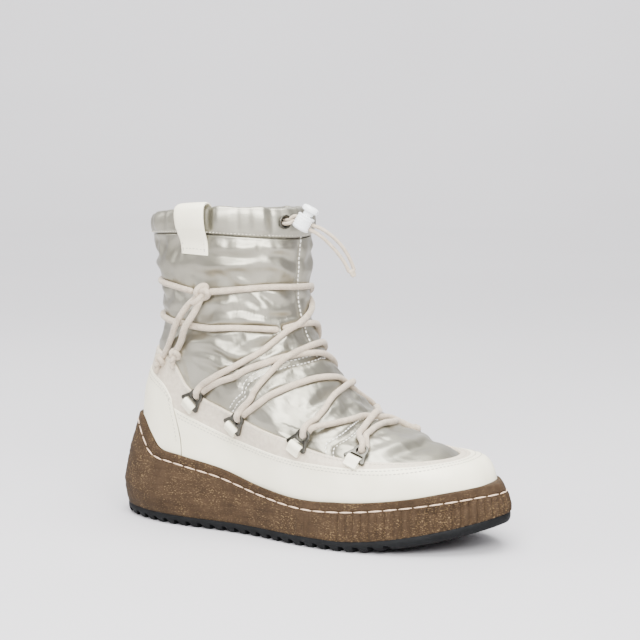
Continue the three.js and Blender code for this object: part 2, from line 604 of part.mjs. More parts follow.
// Eyelet: a rolled metal washer standing just off the tunnel
function eyelet() {
  const { normal, centre } = eyeletPlace();
  const inside = EYELET_HOLE / 2 - 0.1;
  const outside = EYELET_OUTSIDE / 2;
  const profile = [
    [inside, 0], [outside, 0], [outside, EYELET_THICKNESS * 0.5], [outside - 0.6, EYELET_THICKNESS],
    [inside + 0.6, EYELET_THICKNESS], [inside, EYELET_THICKNESS * 0.5], [inside, 0],
  ].map(([r, h]) => new THREE.Vector2(r, h));
  const washer = new THREE.LatheGeometry(profile, 16);
  washer.applyQuaternion(new THREE.Quaternion().setFromUnitVectors(new THREE.Vector3(0, 1, 0), normal));
  const seat = centre.clone().addScaledVector(normal, CLEARANCE + 0.25);
  washer.translate(...seat.toArray());
  addPiece('collar_eyelet', toGeometry(toSolid(washer)), MATERIALS.gunmetal);
}

// Pull loop: a leather strap sewn outside, folded over the collar and sewn inside
function pullLoop() {
  const unit = skinPoint(1, STRAP_EDGES[1]).z - skinPoint(0.88, STRAP_EDGES[1]).z;
  const inner = -UPPER_WALL;
  const clear = CLEARANCE + 0.2;
  const path = [
    [clear, 0.858], [clear, 0.895], [TUNNEL_PUFF * 0.7 + clear, 0.925], [TUNNEL_PUFF + clear + 0.9, 0.95],
    [TUNNEL_PUFF + clear + 1.1, 0.98], [TUNNEL_PUFF * 0.7 + clear, 1.006], [inner * 0.4, 1.018],
    [inner - TUNNEL_PUFF * 0.2, 1.010], [inner - TUNNEL_PUFF * 0.6 - clear - STRAP_THICKNESS, 0.985],
    [inner - TUNNEL_PUFF * 0.6 - clear - STRAP_THICKNESS, 0.95],
    [inner - clear - STRAP_THICKNESS * 1.4, 0.92], [inner - clear - STRAP_THICKNESS, 0.88],
  ].map(([out, v]) => new THREE.Vector2(out, ((v - 1) / 0.12) * unit));
  const square = (i) => {
    const a = path[Math.max(i - 1, 0)];
    const b = path[Math.min(i + 1, path.length - 1)];
    return new THREE.Vector2(b.y - a.y, a.x - b.x).normalize();
  };
  const place = (u, out, rise) => {
    const v = Math.min(1 + (rise / unit) * 0.12, 1);
    const normal = skinNormal(v, u);
    normal.z = 0;
    return skinPoint(v, u).addScaledVector(normal.normalize(), out).addScaledVector(UP, Math.max(rise, 0));
  };
  const rings = path.map((p, i) => {
    const n = square(i).multiplyScalar(STRAP_THICKNESS);
    const outside = STRAP_EDGES.map((u) => place(u, p.x + n.x, p.y + n.y));
    const inside = STRAP_EDGES.map((u) => place(u, p.x, p.y)).reverse();
    return [...outside, ...inside];
  });
  addPiece('pull_loop', stack(rings, 'fan'), MATERIALS.cream);
}

// Frame at a lace ring: base runs along the bar, up points to the lace, out leaves the upper
function ringFrame(ring, mirrored) {
  const side = (u) => (mirrored ? 1 - u : u);
  const a = skinPoint(ring.v0, side(ring.u0));
  const b = skinPoint(ring.v1, side(ring.u1));
  const v = (ring.v0 + ring.v1) / 2;
  const u = side((ring.u0 + ring.u1) / 2);
  const out = skinNormal(v, u);
  const base = b.sub(a);
  base.addScaledVector(out, -base.dot(out)).normalize();
  const up = new THREE.Vector3().crossVectors(out, base);
  if (mirrored) up.negate();
  const origin = skin(v, u, SEAT_GAP + FACING_THICKNESS + CLEARANCE + RING_LIFT);
  const frame = new THREE.Matrix4();
  if (mirrored) frame.makeBasis(base.clone().negate(), up, out);
  else frame.makeBasis(base, up, out);
  return frame.setPosition(origin);
}

// Lace ring: a flat triangle with a round hole for the lace and a slot for its leather tab
function ringGeometry() {
  const half = RING_BASE / 2;
  const corner = 1.6;
  const crown = LACE_HOLE / 2 + RING_WIRE;
  const holeY = RING_HEIGHT - crown;
  const outline = new THREE.Shape();
  outline.moveTo(-half + corner, -RING_WIRE / 2);
  outline.lineTo(half - corner, -RING_WIRE / 2);
  outline.lineTo(half, corner - RING_WIRE / 2);
  outline.lineTo(half - 0.4, corner);
  outline.lineTo(crown * 0.95, holeY - 1.2);
  outline.absarc(0, holeY, crown, 0, Math.PI, false);
  outline.lineTo(-crown * 0.95, holeY - 1.2);
  outline.lineTo(-half + 0.4, corner);
  outline.lineTo(-half, corner - RING_WIRE / 2);
  outline.closePath();
  const hole = new THREE.Path();
  hole.absarc(0, holeY, LACE_HOLE / 2, 0, 2 * Math.PI, true);
  const slot = new THREE.Path();
  const slotTop = holeY - LACE_HOLE / 2 - RING_WIRE * 0.55;
  slot.moveTo(-half + 2.1, RING_WIRE / 2);
  slot.lineTo(-half + 2.9, slotTop);
  slot.lineTo(half - 2.9, slotTop);
  slot.lineTo(half - 2.1, RING_WIRE / 2);
  slot.closePath();
  outline.holes.push(hole, slot);
  const plate = new THREE.ExtrudeGeometry(outline, { depth: RING_THICKNESS, bevelEnabled: false, curveSegments: 5 });
  return plate.translate(0, 0, -RING_THICKNESS / 2);
}

// Leather tab: wraps the ring's base bar and runs down on the facing
function tabGeometry() {
  const barHole = RING_THICKNESS / 2 + CLEARANCE;
  const barSide = RING_WIRE / 2 + CLEARANCE;
  const under = -RING_LIFT + 0.25;
  const outline = new THREE.Shape();
  outline.moveTo(-TAB_LENGTH, under);
  outline.lineTo(barSide + TAB_LEATHER, under);
  outline.lineTo(barSide + TAB_LEATHER, barHole + TAB_LEATHER * 0.4);
  outline.lineTo(barSide + TAB_LEATHER * 0.4, barHole + TAB_LEATHER);
  outline.lineTo(-barSide - TAB_LEATHER * 0.4, barHole + TAB_LEATHER);
  outline.lineTo(-barSide - TAB_LEATHER * 1.8, under + TAB_LEATHER * 2.2);
  outline.lineTo(-TAB_LENGTH, under + TAB_LEATHER * 1.4);
  outline.closePath();
  const bar = new THREE.Path();
  bar.moveTo(-barSide, -barHole);
  bar.lineTo(-barSide, barHole);
  bar.lineTo(barSide, barHole);
  bar.lineTo(barSide, -barHole);
  bar.closePath();
  outline.holes.push(bar);
  const band = new THREE.ExtrudeGeometry(outline, { depth: TAB_WIDTH, bevelEnabled: false });
  band.translate(0, 0, -TAB_WIDTH / 2);
  band.applyMatrix4(new THREE.Matrix4().makeBasis(new THREE.Vector3(0, 1, 0), UP, new THREE.Vector3(1, 0, 0)));
  return band;
}

function laceRings() {
  LACE_RINGS.forEach((ring, i) => {
    for (const [side, mirrored] of [['outer', false], ['inner', true]]) {
      const frame = ringFrame(ring, mirrored);
      const plate = addPiece(`lace_ring_${side}_${i + 1}`, ringGeometry(), MATERIALS.gunmetal);
      plate.applyMatrix4(frame);
      const tab = addPiece(`ring_tab_${side}_${i + 1}`, tabGeometry(), MATERIALS.cream);
      tab.applyMatrix4(frame);
    }
  });
}

// Round cord along a smooth curve through hand-chosen points
function cordGeometry(points, diameter, steps) {
  const curve = new THREE.CatmullRomCurve3(points, false, 'centripetal');
  const section = new THREE.Shape();
  section.absarc(0, 0, diameter / 2, 0, 2 * Math.PI, false);
  return new THREE.ExtrudeGeometry(section, { extrudePath: curve, steps, curveSegments: 4, bevelEnabled: false });
}

// Points on the upper between the chosen ones, so that a cord follows the curved surface
function overSkin(chosen, share) {
  const curve = new THREE.CatmullRomCurve3(chosen.map(([v, u, lift]) => new THREE.Vector3(v, u, lift / 100)));
  const count = (chosen.length - 1) * share;
  return Array.from({ length: count + 1 }, (_, k) => {
    const p = curve.getPoint(k / count);
    return skin(p.x, p.y, p.z * 100);
  });
}

// Where the stretches of lace meet, just past the hole of a ring
function laceNode(side, number) {
  const reach = RING_HEIGHT + CLEARANCE + LACE_DIAMETER / 2;
  return new THREE.Vector3(0, reach, 0.6).applyMatrix4(ringFrame(LACE_RINGS[number - 1], side === 'inner'));
}

function cordSteps(points, diameter, step = 2.6) {
  const length = points.slice(1).reduce((sum, p, i) => sum + p.distanceTo(points[i]), 0);
  return Math.ceil(length / (step * diameter));
}

function laces() {
  const strands = LACE_STRANDS.map(({ from, to, over }) => {
    const points = [laceNode(...from), ...overSkin(over, 2)];
    if (to) points.push(laceNode(...to));
    return toSolid(cordGeometry(points, LACE_DIAMETER, cordSteps(points, LACE_DIAMETER)));
  });
  const joined = strands.reduce((sum, strand) => sum.add(strand));
  addPiece('lace_crossings', toGeometry(joined), MATERIALS.cord);
  for (const [name, chosen] of [
    ['lace_turn_upper', UPPER_TURN], ['lace_turn_lower', LOWER_TURN],
    ['lace_tail_rear', REAR_TAIL], ['lace_tail_front', FRONT_TAIL],
  ]) {
    const points = overSkin(chosen, 3);
    addPiece(name, cordGeometry(points, LACE_DIAMETER, cordSteps(points, LACE_DIAMETER)), MATERIALS.cord);
  }
  const knot = new THREE.SphereGeometry(0.5, 12, 8);
  knot.scale(KNOT_SIZE.along, KNOT_SIZE.deep, KNOT_SIZE.tall);
  knot.translate(...skin(...KNOT_PLACE).toArray());
  addPiece('lace_knot', toGeometry(toSolid(knot)), MATERIALS.cord);
  for (const [name, place] of [['end_knot_rear', REAR_END_KNOT], ['end_knot_front', FRONT_END_KNOT]]) {
    const lump = new THREE.SphereGeometry(END_KNOT_DIAMETER / 2, 10, 7);
    lump.translate(...skin(...place).toArray());
    addPiece(name, toGeometry(toSolid(lump)), MATERIALS.cord);
  }
}

// Frame of the cord lock: Z along the button's travel, X along the cord hole
function lockFrame() {
  const forward = LOCK_FORWARD.clone().addScaledVector(LOCK_AXIS, -LOCK_FORWARD.dot(LOCK_AXIS)).normalize();
  const across = new THREE.Vector3().crossVectors(LOCK_AXIS, forward);
  return new THREE.Matrix4().makeBasis(forward, across, LOCK_AXIS).setPosition(LOCK_CENTRE);
}

function turned(profile, segments) {
  const lathe = new THREE.LatheGeometry(profile.map(([r, h]) => new THREE.Vector2(r, h)), segments);
  return toSolid(lathe.rotateX(Math.PI / 2));
}

// Cord lock: a barrel with a cross hole for two cords, and its forked spring button
function cordLock() {
  const frame = lockFrame();
  const half = LOCK_HEIGHT / 2;
  const radius = LOCK_DIAMETER / 2;
  const bore = LOCK_BORE / 2;
  const barrel = turned([
    [0, -half], [radius - 1.6, -half], [radius - 0.3, -half + 1.2], [radius, 0], [radius - 0.3, half - 0.6],
    [radius - 0.9, half], [bore, half], [bore, -half + 1.4], [0, -half + 1.4],
  ], 16);
  const holeWidth = DRAWCORD_DIAMETER + 2 * CORD_CLEARANCE;
  const holeHeight = 2 * DRAWCORD_DIAMETER + 2 * CORD_CLEARANCE;
  const cross = new THREE.BoxGeometry(LOCK_DIAMETER * 1.5, holeWidth, holeHeight);
  const body = addPiece('cord_lock_body', toGeometry(barrel.subtract(toSolid(cross))), MATERIALS.plastic);
  body.applyMatrix4(frame);

  const stem = bore - CLEARANCE;
  const capLow = half + BUTTON_TRAVEL + CLEARANCE;
  const capTop = capLow + BUTTON_HEIGHT;
  const stemLow = -half + 1.4 + BUTTON_TRAVEL + CLEARANCE;
  const cap = BUTTON_DIAMETER / 2;
  const button = turned([
    [0, stemLow], [stem, stemLow], [stem, capLow], [cap - 1, capLow], [cap, capLow + 1],
    [cap, capTop - 1.8], [cap - 1.6, capTop - 0.4], [0, capTop],
  ], 16);
  const slotTop = holeHeight / 2 + BUTTON_TRAVEL;
  const slot = new THREE.BoxGeometry(LOCK_DIAMETER * 1.5, holeWidth, slotTop - stemLow + 2);
  slot.translate(0, 0, (slotTop + stemLow - 2) / 2);
  const press = addPiece('cord_lock_button', toGeometry(button.subtract(toSolid(slot))), MATERIALS.plastic);
  press.applyMatrix4(frame);
}

function drawcord() {
  for (const [name, chosen] of [['drawcord_lower', LOWER_DRAWCORD], ['drawcord_upper', UPPER_DRAWCORD]]) {
    const points = chosen.map((p) => new THREE.Vector3(...p));
    const steps = cordSteps(points, DRAWCORD_DIAMETER, 1.6);
    addPiece(name, cordGeometry(points, DRAWCORD_DIAMETER, steps), MATERIALS.cord);
  }
  const lowerEnd = new THREE.Vector3(...LOWER_DRAWCORD.at(-1));
  const upperEnd = new THREE.Vector3(...UPPER_DRAWCORD.at(-1));
  const along = lowerEnd.clone().sub(new THREE.Vector3(...LOWER_DRAWCORD.at(-2))).normalize();
  const span = upperEnd.clone().sub(lowerEnd);
  span.addScaledVector(along, -span.dot(along)).normalize();
  const deep = new THREE.Vector3().crossVectors(along, span);
  const crimp = new THREE.BoxGeometry(lowerEnd.distanceTo(upperEnd) + DRAWCORD_DIAMETER * 0.6, TIP_DEPTH, TIP_LENGTH);
  crimp.applyMatrix4(new THREE.Matrix4().makeBasis(span, deep, along));
  const middle = lowerEnd.clone().add(upperEnd).multiplyScalar(0.5);
  middle.addScaledVector(along, TIP_LENGTH / 2 + CLEARANCE + 0.4);
  crimp.translate(...middle.toArray());
  addPiece('drawcord_tip', toGeometry(toSolid(crimp)), MATERIALS.gunmetal);
}

outsole();
const sole = midsole();
insole();
upper();
panels();
collar();
eyelet();
pullLoop();
laceRings();
laces();
cordLock();
drawcord();

// The origin is the middle of the footprint's box
const footprint = new THREE.Box3().setFromObject(sole).getCenter(new THREE.Vector3());
boot.position.set(-footprint.x, -footprint.y, 0);

export default boot;
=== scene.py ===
import math

import bmesh
import bpy
import numpy as np
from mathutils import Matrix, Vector, kdtree, noise


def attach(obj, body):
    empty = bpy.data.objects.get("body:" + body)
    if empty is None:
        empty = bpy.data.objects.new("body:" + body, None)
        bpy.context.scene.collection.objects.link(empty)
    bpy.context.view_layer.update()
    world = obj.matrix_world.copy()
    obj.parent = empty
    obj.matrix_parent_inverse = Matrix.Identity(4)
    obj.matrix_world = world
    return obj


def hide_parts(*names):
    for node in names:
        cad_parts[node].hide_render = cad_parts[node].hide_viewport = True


# Padded apres ski boot for the right foot. Shapes are worked out in millimetres and placed in metres.
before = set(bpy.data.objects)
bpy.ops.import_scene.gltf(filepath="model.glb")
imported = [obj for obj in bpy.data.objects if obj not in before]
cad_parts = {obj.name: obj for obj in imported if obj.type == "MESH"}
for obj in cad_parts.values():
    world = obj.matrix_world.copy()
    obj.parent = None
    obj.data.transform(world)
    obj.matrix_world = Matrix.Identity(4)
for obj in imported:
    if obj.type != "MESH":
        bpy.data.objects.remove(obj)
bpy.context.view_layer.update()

MM = 0.001

# From the sole's own origin to the middle of the part's floor area, in millimetres
SHIFT = np.array([1.1377, -1.6412, 0.0])

# Driving sizes, the same as the solids have
SOLE_LENGTH = 272.0
BALL_WIDTH = 104.0
BOOT_HEIGHT = 204.0
OUTSOLE_THICKNESS = 6.5
TOE_SPRING = 17.0
SPRING_START = 0.66
SPRING_POWER = 1.67
TREAD_DEPTH = 2.6
TOOTH_PITCH = 9.2
WALL_BULGE = 2.6
LIP_STEP = 0.7
RIB_PITCH = 5.2
UPPER_WALL = 4.0
SEAT_GAP = 0.5
OVERLAY = 1.3
FACING = 1.0
TUNNEL_PUFF = 2.4
COLLAR_SEAM = 0.92
COUNTER_EDGE = 0.137
RING_BASE = 15.0
RING_HEIGHT = 12.5
RING_THICKNESS = 2.0
RING_WIRE = 2.1
RING_LIFT = 2.0
RING_LEAN = 9.0
LACE_HOLE = 5.6
TAB_WIDTH = 9.0
TAB_LEATHER = 1.2
TAB_LENGTH = 7.0
TAB_SEEN = 5.4
LACE = 4.3
LACE_SINK = 2.6
DRAWCORD = 2.3
PLAY_ROUND_UPPER = 1.8
RIM_TILT = 3.2

# v, backX, backZ, frontX, frontZ, half, wide, heelPower, toePower, sag, skew
SECTIONS = np.array([
    [0.00, -0.4520, 0.1910, 0.4520, 0.1520, 0.409, 0.665, 2.5, 2.4, 0.069, 0.053],
    [0.08, -0.4560, 0.2450, 0.4490, 0.1979, 0.426, 0.665, 2.5, 2.5, 0.059, 0.053],
    [0.16, -0.4500, 0.3040, 0.4213, 0.2542, 0.426, 0.660, 2.5, 2.74, 0.044, 0.053],
    [0.23, -0.4460, 0.3630, 0.3622, 0.2690, 0.419, 0.650, 2.5, 2.1, 0.029, 0.048],
    [0.30, -0.4405, 0.4215, 0.2723, 0.3112, 0.411, 0.620, 2.4, 2.0, 0.015, 0.048],
    [0.38, -0.4220, 0.4850, 0.1789, 0.3533, 0.400, 0.590, 2.4, 2.1, 0.005, 0.038],
    [0.46, -0.4065, 0.5490, 0.1140, 0.4070, 0.394, 0.560, 2.3, 2.0, 0, 0.029],
    [0.55, -0.3935, 0.6180, 0.0580, 0.4800, 0.385, 0.530, 2.2, 2.0, 0, 0.019],
    [0.65, -0.3865, 0.6960, 0.0080, 0.5880, 0.375, 0.510, 2.2, 2.0, 0, 0.010],
    [0.76, -0.3915, 0.7840, -0.0235, 0.7255, 0.370, 0.500, 2.2, 2.1, -0.005, 0],
    [0.88, -0.4100, 0.8820, -0.0205, 0.8725, 0.385, 0.500, 2.2, 2.2, -0.015, 0],
    [1.00, -0.4155, 0.9800, -0.0255, 1.0000, 0.394, 0.500, 2.3, 2.3, -0.015, 0],
])
BACK_X, BACK_Z, FRONT_X, FRONT_Z, HALF, WIDE, HEEL_POWER, TOE_POWER, SAG, SKEW = range(1, 11)
UPPER_WAIST = 0.20
SOLE_WIDE, SOLE_HEEL_POWER, SOLE_TOE_POWER = 0.665, 2.5, 1.81
SOLE_WAIST, WAIST_AT, WAIST_REACH, SOLE_SKEW = 0.19, 0.38, 0.17, 0.055

# Lip of the sole: q from heel to toe, height and inset as shares
LIP = np.array([
    [0.00, 0.330, 0.078], [0.04, 0.324, 0.074], [0.08, 0.280, 0.058], [0.12, 0.240, 0.044],
    [0.20, 0.225, 0.034], [0.32, 0.200, 0.030], [0.44, 0.162, 0.029], [0.57, 0.142, 0.030],
    [0.69, 0.149, 0.032], [0.80, 0.167, 0.034], [0.92, 0.194, 0.042], [1.00, 0.206, 0.048],
])

# Upper edges of the sewn-on panels on one side, as u and v
MUDGUARD_TOP = np.array([
    [0.139, 0.275], [0.164, 0.258], [0.193, 0.233], [0.219, 0.215], [0.251, 0.192], [0.300, 0.185],
    [0.365, 0.190], [0.434, 0.199], [0.500, 0.200],
])
COUNTER_TOP = np.array([[0.000, 0.386], [0.060, 0.378], [0.110, 0.364], [0.128, 0.345], [0.137, 0.310]])
FACING_TOP = np.array([
    [0.000, 0.462], [0.110, 0.466], [0.146, 0.462], [0.158, 0.430], [0.170, 0.382], [0.191, 0.352],
    [0.214, 0.331], [0.251, 0.276], [0.300, 0.234], [0.365, 0.222], [0.434, 0.223], [0.500, 0.222],
])

# Lace rings, front one last: v and u at the two ends of the base bar
LACE_RINGS = [
    (0.350, 0.164, 0.295, 0.175), (0.305, 0.209, 0.255, 0.212),
    (0.285, 0.256, 0.238, 0.256), (0.242, 0.310, 0.208, 0.309),
]

# Stretches of lace: name, ring they leave, ring they reach, rank where they cross, points v, u, lift
LACE_STRANDS = [
    ("lace_stretch_1", ("outer", 4), ("inner", 4), 1,
     [[0.330, 0.402, 3.6], [0.362, 0.450, 3.4], [0.374, 0.505, 3.4], [0.350, 0.575, 3.5]]),
    ("lace_stretch_2", ("outer", 4), ("inner", 3), 5,
     [[0.334, 0.392, 3.6], [0.378, 0.446, 3.4], [0.405, 0.510, 3.4], [0.394, 0.602, 3.6]]),
    ("lace_stretch_3", ("outer", 3), ("inner", 4), 2,
     [[0.380, 0.383, 3.6], [0.413, 0.479, 3.4], [0.367, 0.570, 3.6]]),
    ("lace_stretch_4", ("outer", 3), ("inner", 2), 6,
     [[0.390, 0.355, 3.8], [0.438, 0.396, 3.4], [0.497, 0.455, 3.6], [0.517, 0.529, 3.6],
      [0.470, 0.640, 3.8], [0.415, 0.722, 4.2]]),
    ("lace_stretch_5", ("outer", 2), ("inner", 3), 3,
     [[0.410, 0.272, 4.0], [0.460, 0.312, 3.4], [0.527, 0.383, 3.4], [0.555, 0.446, 3.8],
      [0.545, 0.525, 3.8], [0.455, 0.610, 3.4]]),
    ("lace_stretch_6", ("outer", 2), ("inner", 1), 7,
     [[0.420, 0.263, 4.0], [0.497, 0.306, 3.4], [0.598, 0.380, 3.4], [0.640, 0.455, 3.8],
      [0.642, 0.550, 3.8], [0.560, 0.675, 3.4], [0.490, 0.750, 4.0]]),
    ("lace_stretch_7", ("outer", 1), ("inner", 2), 4,
     [[0.455, 0.232, 4.0], [0.540, 0.294, 3.4], [0.603, 0.374, 3.4], [0.623, 0.430, 3.6],
      [0.620, 0.510, 3.8], [0.580, 0.580, 3.6], [0.500, 0.670, 3.6], [0.425, 0.735, 4.2]]),
    ("lace_stretch_8", ("outer", 1), None, 8,
     [[0.450, 0.218, 4.4], [0.525, 0.260, 3.4], [0.613, 0.341, 3.4], [0.685, 0.423, 3.6],
      [0.715, 0.495, 3.8], [0.735, 0.560, 3.6], [0.745, 0.600, 3.4]]),
    ("lace_stretch_9", ("inner", 1), None, 0,
     [[0.470, 0.770, 4.2], [0.560, 0.700, 3.4], [0.640, 0.620, 3.4], [0.685, 0.566, 3.6],
      [0.700, 0.500, 3.8], [0.698, 0.454, 3.6], [0.690, 0.420, 3.4]]),
]
UPPER_TURN = [[0.748, 0.615, 3.4], [0.751, 0.700, 3.2], [0.752, 0.800, 3.2], [0.750, 0.900, 3.4],
              [0.748, 1.000, 3.4], [0.748, 1.110, 3.4], [0.750, 1.180, 3.4], [0.750, 1.227, 4.6]]
LOWER_TURN = [[0.684, 0.394, 3.4], [0.680, 0.350, 3.4], [0.667, 0.294, 3.2], [0.642, 0.230, 3.2],
              [0.630, 0.180, 3.2], [0.618, 0.135, 3.4], [0.610, 0.072, 3.4], [0.603, 0.000, 3.4],
              [0.606, -0.080, 3.4], [0.630, -0.160, 3.4], [0.680, -0.250, 3.6], [0.745, -0.345, 8.8],
              [0.778, -0.410, 4.6], [0.787, -0.450, 3.9], [0.793, -0.520, 3.9], [0.792, -0.600, 3.6],
              [0.775, -0.680, 3.2], [0.760, -0.730, 4.6]]
REAR_TAIL = [[0.738, 0.243, 6.4], [0.704, 0.219, 7.0], [0.675, 0.205, 8.6], [0.632, 0.185, 8.8],
             [0.556, 0.155, 7.0], [0.500, 0.135, 5.8], [0.464, 0.1225, 5.6]]
FRONT_TAIL = [[0.738, 0.250, 6.4], [0.700, 0.237, 7.4], [0.666, 0.223, 8.8], [0.632, 0.207, 8.8],
              [0.572, 0.184, 6.6], [0.521, 0.165, 5.6]]
KNOT_PLACE = (0.750, 0.248, 5.4)
REAR_END_KNOT = (0.436, 0.113, 5.6)
FRONT_END_KNOT = (0.492, 0.159, 5.6)

# Pull loop, eyelet, cord lock and the two drawcord ends
STRAP_EDGES = (0.217, 0.2425, 0.268)
EYELET_PLACE = (0.972, 0.437)
LOCK_CENTRE = np.array([4.7, -17.6, 198.2])
LOCK_AXIS = np.array([0.42, 0.25, 0.87])
LOCK_FORWARD = np.array([0.94, 0.34, 0.0])
LOWER_DRAWCORD = [[-10.3, -18.8, 197.4], [-8.5, -19.6, 197.4], [-6.6, -20.5, 197.4], [-5.2, -20.8, 197.6],
                  [-3.0, -20.5, 198.2], [-1.0, -19.6, 199.5], [-0.1, -19.3, 199.3], [8.3, -16.7, 194.4],
                  [13.8, -14.3, 191.0], [18.2, -12.1, 187.0], [22.2, -10.2, 182.5], [25.8, -8.4, 177.7],
                  [28.7, -6.9, 172.9], [30.7, -6.0, 168.2]]
UPPER_DRAWCORD = [[-9.4, -16.8, 199.5], [-7.6, -17.6, 199.5], [-5.7, -18.5, 199.5], [-4.5, -19.1, 199.6],
                  [-2.4, -19.0, 201.6], [0.3, -18.8, 202.4], [1.2, -18.5, 201.9], [9.6, -15.9, 197.1],
                  [15.4, -13.4, 194.6], [20.4, -10.9, 190.8], [25.0, -8.4, 186.0], [28.7, -6.2, 180.3],
                  [31.4, -4.7, 174.7], [33.2, -3.7, 169.4]]


# Surface of the upper, as in the solids: v from the sole to the collar, u from the heel round the outer side
def unit(a):
    return a / np.linalg.norm(a, axis=-1, keepdims=True)


def look_up(table, column, at):
    keys, values = table[:, 0], table[:, column]
    count = len(keys)
    before = np.maximum(np.arange(count) - 1, 0)
    after = np.minimum(np.arange(count) + 1, count - 1)
    slopes = (values[after] - values[before]) / (keys[after] - keys[before])
    i = np.clip(np.searchsorted(keys, at, side="left") - 1, 0, count - 2)
    step = keys[i + 1] - keys[i]
    t = (at - keys[i]) / step
    t2, t3 = t * t, t * t * t
    return ((2 * t3 - 3 * t2 + 1) * values[i] + (t3 - 2 * t2 + t) * step * slopes[i]
            + (3 * t2 - 2 * t3) * values[i + 1] + (t3 - t2) * step * slopes[i + 1])


def fade(start, end, at):
    t = np.clip((np.asarray(at, float) - start) / (end - start), 0, 1)
    return t * t * (3 - 2 * t)


def one_side(u):
    w = u - np.floor(u)
    return np.minimum(w, 1 - w)


def plan_point(u, wide, heel_power, toe_power):
    c = -np.cos(2 * np.pi * u)
    s = np.sin(2 * np.pi * u)
    power = np.where(c < 0, heel_power, toe_power)
    t = np.sign(c) * np.abs(c) ** (2 / power)
    along = np.where(t < 0, wide + t * wide, wide + t * (1 - wide))
    return along, -np.sign(s) * np.abs(s) ** (2 / power)


def skin_point(v, u):
    v, u = np.broadcast_arrays(np.asarray(v, float), np.asarray(u, float))
    at = [look_up(SECTIONS, k, v) for k in range(SECTIONS.shape[1])]
    q, across = plan_point(u, at[WIDE], at[HEEL_POWER], at[TOE_POWER])
    low = 1 - fade(0.15, 0.5, v)
    waist = 1 - UPPER_WAIST * low * np.exp(-(((q - 0.36) / 0.17) ** 2))
    x = (at[BACK_X] + (at[FRONT_X] - at[BACK_X]) * q) * SOLE_LENGTH
    y = (across * at[HALF] * waist + at[SKEW] * fade(0.5, 1, q)) * BALL_WIDTH
    z = (at[BACK_Z] + (at[FRONT_Z] - at[BACK_Z]) * q - at[SAG] * 4 * q * (1 - q)) * BOOT_HEIGHT
    return np.stack([x, y, z], -1)


def skin_normal(v, u):
    v, u = np.broadcast_arrays(np.asarray(v, float), np.asarray(u, float))
    e = 0.002
    along_v = skin_point(np.minimum(v + e, 1), u) - skin_point(np.maximum(v - e, 0), u)
    along_u = skin_point(v, u + e) - skin_point(v, u - e)
    return unit(np.cross(along_u, along_v))


def skin(v, u, out=0.0):
    return skin_point(v, u) + skin_normal(v, u) * np.asarray(out, float)[..., None]


def skin_level(v, u, out):
    normal = skin_normal(v, u)
    normal[..., 2] = 0
    return skin_point(v, u) + unit(normal) * np.asarray(out, float)[..., None]


def skin_at_height(u, z):
    low = np.zeros_like(z)
    high = np.full_like(z, 0.5)
    for _ in range(30):
        middle = (low + high) / 2
        below = skin_point(middle, u)[..., 2] < z
        low = np.where(below, middle, low)
        high = np.where(below, high, middle)
    return low


def sole_raw(u):
    q, across = plan_point(u, SOLE_WIDE, SOLE_HEEL_POWER, SOLE_TOE_POWER)
    waist = 1 - SOLE_WAIST * np.exp(-(((q - WAIST_AT) / WAIST_REACH) ** 2))
    y = across * (BALL_WIDTH / 2) * waist + SOLE_SKEW * BALL_WIDTH * fade(0.5, 1, q)
    return (q - 0.5) * SOLE_LENGTH, y, q


def sole_point(u, out, z):
    e = 0.002
    x, y, _ = sole_raw(u)
    x0, y0, _ = sole_raw(u - e)
    x1, y1, _ = sole_raw(u + e)
    outward = unit(np.stack([y1 - y0, x0 - x1], -1))
    return np.stack([x + outward[..., 0] * out, y + outward[..., 1] * out, z + 0 * x], -1)


def spring(q):
    rise = np.maximum(q - SPRING_START, 0) / (1 - SPRING_START)
    return TOE_SPRING * rise ** SPRING_POWER


# Smooth curve through given points
def smooth_curve(points, count):
    p = np.asarray(points, float)
    n = len(p)
    p = np.vstack([2 * p[0] - p[1], p, 2 * p[-1] - p[-2]])
    t = np.linspace(0, n - 1, count)
    i = np.minimum(t.astype(int), n - 2)
    w = (t - i)[:, None]
    p0, p1, p2, p3 = p[i], p[i + 1], p[i + 2], p[i + 3]

    def gap(a, b):
        return np.maximum(((b - a) ** 2).sum(1), 1e-12)[:, None] ** 0.25

    d0, d1, d2 = gap(p0, p1), gap(p1, p2), gap(p2, p3)
    m1 = ((p1 - p0) / d0 - (p2 - p0) / (d0 + d1) + (p2 - p1) / d1) * d1
    m2 = ((p2 - p1) / d1 - (p3 - p1) / (d1 + d2) + (p3 - p2) / d2) * d1
    return (p1 + m1 * w + (-3 * p1 + 3 * p2 - 2 * m1 - m2) * w ** 2 + (2 * p1 - 2 * p2 + m1 + m2) * w ** 3)


def even_points(line, step):
    line = np.asarray(line, float)
    lengths = np.concatenate([[0], np.cumsum(np.linalg.norm(np.diff(line, axis=0), axis=1))])
    count = max(3, int(round(lengths[-1] / step)) + 1)
    wanted = np.linspace(0, lengths[-1], count)
    return np.stack([np.interp(wanted, lengths, line[:, k]) for k in range(line.shape[1])], 1)


# Meshes
def make_object(name, points, faces, uv=None, smooth=True, crease=None):
    mesh = bpy.data.meshes.new(name)
    mesh.from_pydata(((np.asarray(points) + SHIFT) * MM).tolist(), [], faces)
    if uv is not None:
        layer = mesh.uv_layers.new(name="UVMap")
        layer.data.foreach_set("uv", np.asarray(uv, np.float32).ravel())
    mesh.polygons.foreach_set("use_smooth", [smooth] * len(mesh.polygons))
    if crease is not None:
        mesh.set_sharp_from_angle(angle=math.radians(crease))
    mesh.update()
    obj = bpy.data.objects.new(name, mesh)
    bpy.context.scene.collection.objects.link(obj)
    return obj


